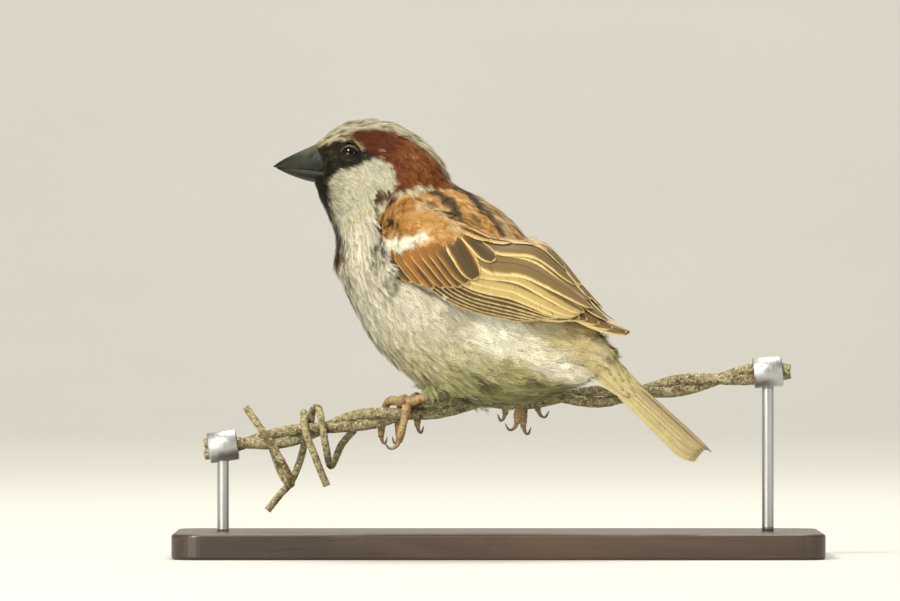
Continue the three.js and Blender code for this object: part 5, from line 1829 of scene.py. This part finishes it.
def plate_mesh(low, high, corner, bevel):
    """A flat plate with round corners in plan and rounded edges."""
    half = (np.array(high) - np.array(low)) / 2
    middle = (np.array(high) + np.array(low)) / 2
    quarter = np.linspace(0, math.pi / 2, 12)
    plan = []
    for k, (sx, sy) in enumerate([(1, 1), (-1, 1), (-1, -1), (1, -1)]):
        a = quarter + k * math.pi / 2
        centre = np.array([sx * (half[0] - corner), sy * (half[1] - corner)])
        plan.append(np.stack([centre[0] + 0 * a, centre[1] + 0 * a, np.cos(a), np.sin(a)], 1))
    plan = np.concatenate(plan)
    profile = []
    for a in np.linspace(-math.pi / 2, 0, 7):
        profile.append((bevel * (1 - math.cos(a)), low[2] + bevel * (1 + math.sin(a))))
    for a in np.linspace(0, math.pi / 2, 7):
        profile.append((bevel * (1 - math.cos(a)), high[2] - bevel * (1 - math.sin(a))))
    points = []
    for inset, z in profile:
        ring = plan[:, :2] + plan[:, 2:] * (corner - inset) + middle[:2]
        points.extend((x, y, z) for x, y in ring)
    size = len(profile), len(plan)
    return mesh_from("base_plate", points, ring_faces(*size) + end_faces(*size))


ROD_X_MM = {"left": -75.6, "right": 74.2}
ROD_RADIUS_MM = 1.6
SLEEVE_INNER_MM, SLEEVE_OUTER_MM, SLEEVE_HALF_MM, SLEEVE_EDGE_MM = 3.1, 4.2, 4.0, 0.25
BASE_CORNER_MM = 8


def rod_pile(side_name):
    """A rod with its foot, and the sleeve that holds both strands."""
    pile = Pile()
    foot_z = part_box(f"stand_rod_{side_name}")[0][2] / MM
    x = ROD_X_MM[side_name]
    middle, way = wire_middle(x)[0], unit(wire_middle(x + 1)[0] - wire_middle(x - 1)[0])
    inner, outer, reach, edge = SLEEVE_INNER_MM, SLEEVE_OUTER_MM, SLEEVE_HALF_MM, SLEEVE_EDGE_MM
    section = [
        (inner, -reach), (outer - edge, -reach), (outer, -reach + edge),
        (outer, reach - edge), (outer - edge, reach), (inner, reach),
    ]
    side = unit(np.cross(way, [0.0, 1.0, 0.0]))
    other = np.cross(way, side)
    around = circle(56)
    points = []
    for radius, run in section:
        ring = middle + way * run + radius * around_axes(around, side, other)
        points.append(ring * MM)
    pile.add(np.concatenate(points), ring_faces(len(section), len(around), closed=True))
    top = middle[2] - inner - 0.5
    line = np.array([(x, 0, foot_z), (x, 0, top / 2), (x, 0, top)]) * MM
    pile.add(*swept(line, [ROD_RADIUS_MM * MM] * 3, 40, 30, cap=0.0))
    return pile


# ---------- operators

class SparrowOperator:
    """Shared settings of the operators."""

    bl_options = {"REGISTER", "UNDO"}

    def execute(self, context):
        self.make(context.scene.sparrow_sizes, context.scene.sparrow_colours)
        return {"FINISHED"}


class SPARROW_OT_body(SparrowOperator, bpy.types.Operator):
    """Make the skin and the coat of tufts over it"""

    bl_idname = "sparrow.body"
    bl_label = "Skin and Coat"

    def make(self, sizes, tones):
        skin = make_skin(sizes, tones)
        tree = coat_tree()
        fine = tuft_set("fine_tuft", FINE_PAIRS, sizes.seed)
        broad = tuft_set("broad_tuft", FEATHER_PAIRS, sizes.seed)
        finish = coat_finish("coat_feathers")
        share = sizes.tuft_density * 1.0
        for number, (band, _, _) in enumerate(COAT_BANDS):
            tufts, slot = (fine, "head_feathers") if number < 2 else (broad, "body_feathers")
            for half, side in enumerate(SIDES):
                grow_coat(f"coat_{band}_{side}", skin, tree, tufts, 2 * number + half,
                          share, sizes.seed + 2 * number + half, finish)
        for half, side in enumerate(SIDES):
            grow_coat(f"coat_shoulder_{side}", skin, tree, broad, WING_REGION + half, share,
                      sizes.seed + 20 + half, finish)
        show("skin", skin, skin_finish(), FLESH)


class SPARROW_OT_wings(SparrowOperator, bpy.types.Operator):
    """Make the folded wings' flight feathers and coverts"""

    bl_idname = "sparrow.wings"
    bl_label = "Wings"

    def make(self, sizes, tones):
        rng = np.random.default_rng(sizes.seed)
        finish = vane_finish("vane_feathers")
        for name, side in SIDES.items():
            quills, coverts = wing_feathers(side, tones, rng)
            show(f"wing_quills_{name}", quills.mesh("quills", "vane"), finish,
                 [f"wing_{name}_primaries", f"wing_{name}_secondaries"])
            show(f"wing_vanes_{name}", coverts.mesh("coverts", "vane"), finish)


class SPARROW_OT_tail(SparrowOperator, bpy.types.Operator):
    """Make the twelve tail feathers"""

    bl_idname = "sparrow.tail"
    bl_label = "Tail"

    def make(self, sizes, tones):
        rng = np.random.default_rng(sizes.seed + 1)
        finish = vane_finish("tail_vanes")
        pile = tail_feathers(tones, rng)
        show("tail_feathers", pile.mesh("tail_feathers", "vane"), finish, ["tail"])
        show("tail_coverts", tail_coverts(tones, rng).mesh("tail_coverts", "vane"), finish)


class SPARROW_OT_bill(SparrowOperator, bpy.types.Operator):
    """Make the two halves of the bill"""

    bl_idname = "sparrow.bill"
    bl_label = "Bill"

    def make(self, sizes, tones):
        finish = bill_finish()
        top, bottom = bill_half(1, CULMEN_MM, CULMEN_HEIGHT_MM), bill_half(-1, GONYS_MM, GONYS_DEPTH_MM)
        show("bill_top", top, finish, ["bill_upper"])
        show("bill_bottom", bottom, finish, ["bill_lower"])


class SPARROW_OT_eyes(SparrowOperator, bpy.types.Operator):
    """Make the eyes and their lids"""

    bl_idname = "sparrow.eyes"
    bl_label = "Eyes"

    def make(self, sizes, tones):
        wet, skin = eye_finish(), lid_finish()
        for name, side in SIDES.items():
            show(f"eyeball_{name}", eyeball(side), wet, [f"eye_{name}"])
            show(f"eyelid_{name}", eyelid(side), skin)


class SPARROW_OT_legs(SparrowOperator, bpy.types.Operator):
    """Make the scaled legs and toes, and the claws"""

    bl_idname = "sparrow.legs"
    bl_label = "Legs and Claws"

    def make(self, sizes, tones):
        scales, horn = leg_finish(), claw_finish()
        for name, foot in FEET.items():
            leg, claws = leg_pieces(foot)
            show(f"leg_{name}", leg.mesh("leg"), scales,
                 [f"tarsus_{name}"] + [f"toe_{name}_{toe}" for toe in foot["toes"]])
            show(f"claws_{name}", claws.mesh("claws"), horn,
                 [f"claw_{name}_{toe}" for toe in foot["toes"]])


class SPARROW_OT_perch(SparrowOperator, bpy.types.Operator):
    """Make the cut length of twisted barbed wire"""

    bl_idname = "sparrow.perch"
    bl_label = "Barbed Wire"

    def make(self, sizes, tones):
        finish = wire_finish()
        for number, (name, phase) in enumerate((("first", 0.0), ("second", math.pi))):
            bar = swept(strand_line(phase) * MM, [sizes.strand_radius] * 3, STRAND_SIDES, STRAND_RINGS,
                        pitted(number), 0.0)
            show(f"wire_{name}", mesh_from("strand", *bar), finish,
                 [f"perch_strand_{name}"])
        for number, (name, line) in enumerate(BARBS_MM.items()):
            line = np.array([(x, share * BARB_REACH_MM, z) for x, share, z in line])
            bar = swept(line * MM, [BARB_RADIUS_MM * MM] * 3, BARB_SIDES, BARB_RINGS,
                        pitted(10 + number), 0.0)
            show(name.replace("perch_", "wire_"), mesh_from("barb", *bar), finish, [name])


class SPARROW_OT_stand(SparrowOperator, bpy.types.Operator):
    """Make the stand's base and its two rods"""

    bl_idname = "sparrow.stand"
    bl_label = "Stand"

    def make(self, sizes, tones):
        low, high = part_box("stand_base")
        base = plate_mesh(low, high, BASE_CORNER_MM * MM, sizes.base_bevel)
        show("base_board", base, wood_finish(), ["stand_base"], smooth=False)
        steel = steel_finish()
        for name in SIDES:
            mesh = rod_pile(name).mesh("rod")
            face_out(mesh)
            show(f"rod_{name}", mesh, steel, [f"stand_rod_{name}"])


class SPARROW_OT_studio(SparrowOperator, bpy.types.Operator):
    """Make the floor, the backdrop, the soft lights and the camera"""

    bl_idname = "sparrow.studio"
    bl_label = "Studio"

    def make(self, sizes, tones):
        floor_and_backdrop()
        for lamp in LAMPS:
            soft_light(*lamp)
        world = bpy.data.worlds.new("studio_air")
        world.use_nodes = True
        air = world.node_tree.nodes["Background"]
        air.inputs["Color"].default_value = (*AIR_COLOUR, 1)
        air.inputs["Strength"].default_value = AIR_STRENGTH
        bpy.context.scene.world = world
        place_camera()
        bpy.context.scene.view_settings.view_transform = "Standard"


CAMERA_MM = (-13.2, -2500.0, 70.44)
FRAME_WIDTH_MM = 247.5  # seen at the perch
SENSOR_MM = 36.0


def place_camera():
    camera = bpy.data.cameras.new("camera")
    camera.sensor_width = SENSOR_MM
    camera.lens = SENSOR_MM * -CAMERA_MM[1] / FRAME_WIDTH_MM
    camera.clip_end = 50
    holder = put("camera", camera)
    holder.location = Vector(CAMERA_MM) * MM
    holder.rotation_euler = (math.pi / 2, 0, 0)
    bpy.context.scene.camera = holder


LAMP_COLOUR = (1.0, 0.95, 0.82)
AIR_COLOUR = (1.0, 0.975, 0.9)
AIR_STRENGTH = 0.34
BIRD_MIDDLE = (-0.01, 0.0, 0.075)
LAMPS = [  # name, place and diameter in metres, watts, what it shines at
    ("key", (-0.6, -0.95, 1.15), 0.38, 23, BIRD_MIDDLE),
    ("fill", (1.1, -0.9, 0.3), 1.0, 3.0, BIRD_MIDDLE),
    ("top", (0.1, 0.5, 1.2), 0.7, 14, BIRD_MIDDLE),
    ("low", (-0.7, -1.0, 0.02), 0.8, 10, BIRD_MIDDLE),
    ("backdrop", (0.0, 1.5, 2.2), 1.2, 46, (0.0, 3.8, 0.5)),
]


def soft_light(name, place, size, power, aim):
    light = bpy.data.lights.new(name, "AREA")
    light.shape = "DISK"
    light.size = size
    light.energy = power
    light.color = LAMP_COLOUR
    holder = put(name, light)
    holder.location = place
    toward = Vector(aim) - Vector(place)
    holder.rotation_euler = toward.to_track_quat("-Z", "Y").to_euler()


def floor_and_backdrop():
    """A pale sheet that lies flat under the stand and curves up behind it."""
    reach, start, bend, rise = 5.0, 2.3, 1.5, 4.5
    line = [(-4.0, 0.0), (-1.0, 0.0), (start, 0.0)]
    for a in np.linspace(0, math.pi / 2, 17)[1:]:
        line.append((start + bend * math.sin(a), bend * (1 - math.cos(a))))
    line.append((start + bend, rise))
    points = [(x, y, z) for y, z in line for x in (-reach, reach)]
    faces = [(2 * i, 2 * i + 1, 2 * i + 3, 2 * i + 2) for i in range(len(line) - 1)]
    mesh = mesh_from("floor", points, faces)
    g = Finish("pale_floor", 0.9)
    g.set(base_color=g.blend(g.noise(6, 2.0), (0.6, 0.595, 0.58), (0.63, 0.625, 0.61)))
    floor = put("floor", mesh)
    mesh.materials.append(g.material)
    mesh.polygons.foreach_set("use_smooth", np.ones(len(mesh.polygons), bool))


class SPARROW_PT_panel(bpy.types.Panel):
    """Lists the steps that make the sparrow, with their sizes and colours"""

    bl_label = "House Sparrow"
    bl_idname = "SPARROW_PT_panel"
    bl_space_type = "VIEW_3D"
    bl_region_type = "UI"
    bl_category = "Sparrow"

    def draw(self, context):
        for operator in OPERATORS:
            self.layout.operator(operator.bl_idname)
        for group in (context.scene.sparrow_sizes, context.scene.sparrow_colours):
            box = self.layout.box()
            for key in group.bl_rna.properties.keys():
                if key not in ("rna_type", "name"):
                    box.prop(group, key)


OPERATORS = (
    SPARROW_OT_studio, SPARROW_OT_body, SPARROW_OT_wings, SPARROW_OT_tail, SPARROW_OT_bill,
    SPARROW_OT_eyes, SPARROW_OT_legs, SPARROW_OT_perch, SPARROW_OT_stand,
)
CLASSES = (SPARROW_PG_colours, SPARROW_PG_sizes, *OPERATORS, SPARROW_PT_panel)


def register():
    for item in CLASSES:
        bpy.utils.register_class(item)
    bpy.types.Scene.sparrow_sizes = PointerProperty(type=SPARROW_PG_sizes)
    bpy.types.Scene.sparrow_colours = PointerProperty(type=SPARROW_PG_colours)


def unregister():
    del bpy.types.Scene.sparrow_sizes, bpy.types.Scene.sparrow_colours
    for item in reversed(CLASSES):
        bpy.utils.unregister_class(item)


def main():
    register()
    for operator in OPERATORS:
        module, name = operator.bl_idname.split(".")
        getattr(getattr(bpy.ops, module), name)()


if __name__ == "__main__":
    main()
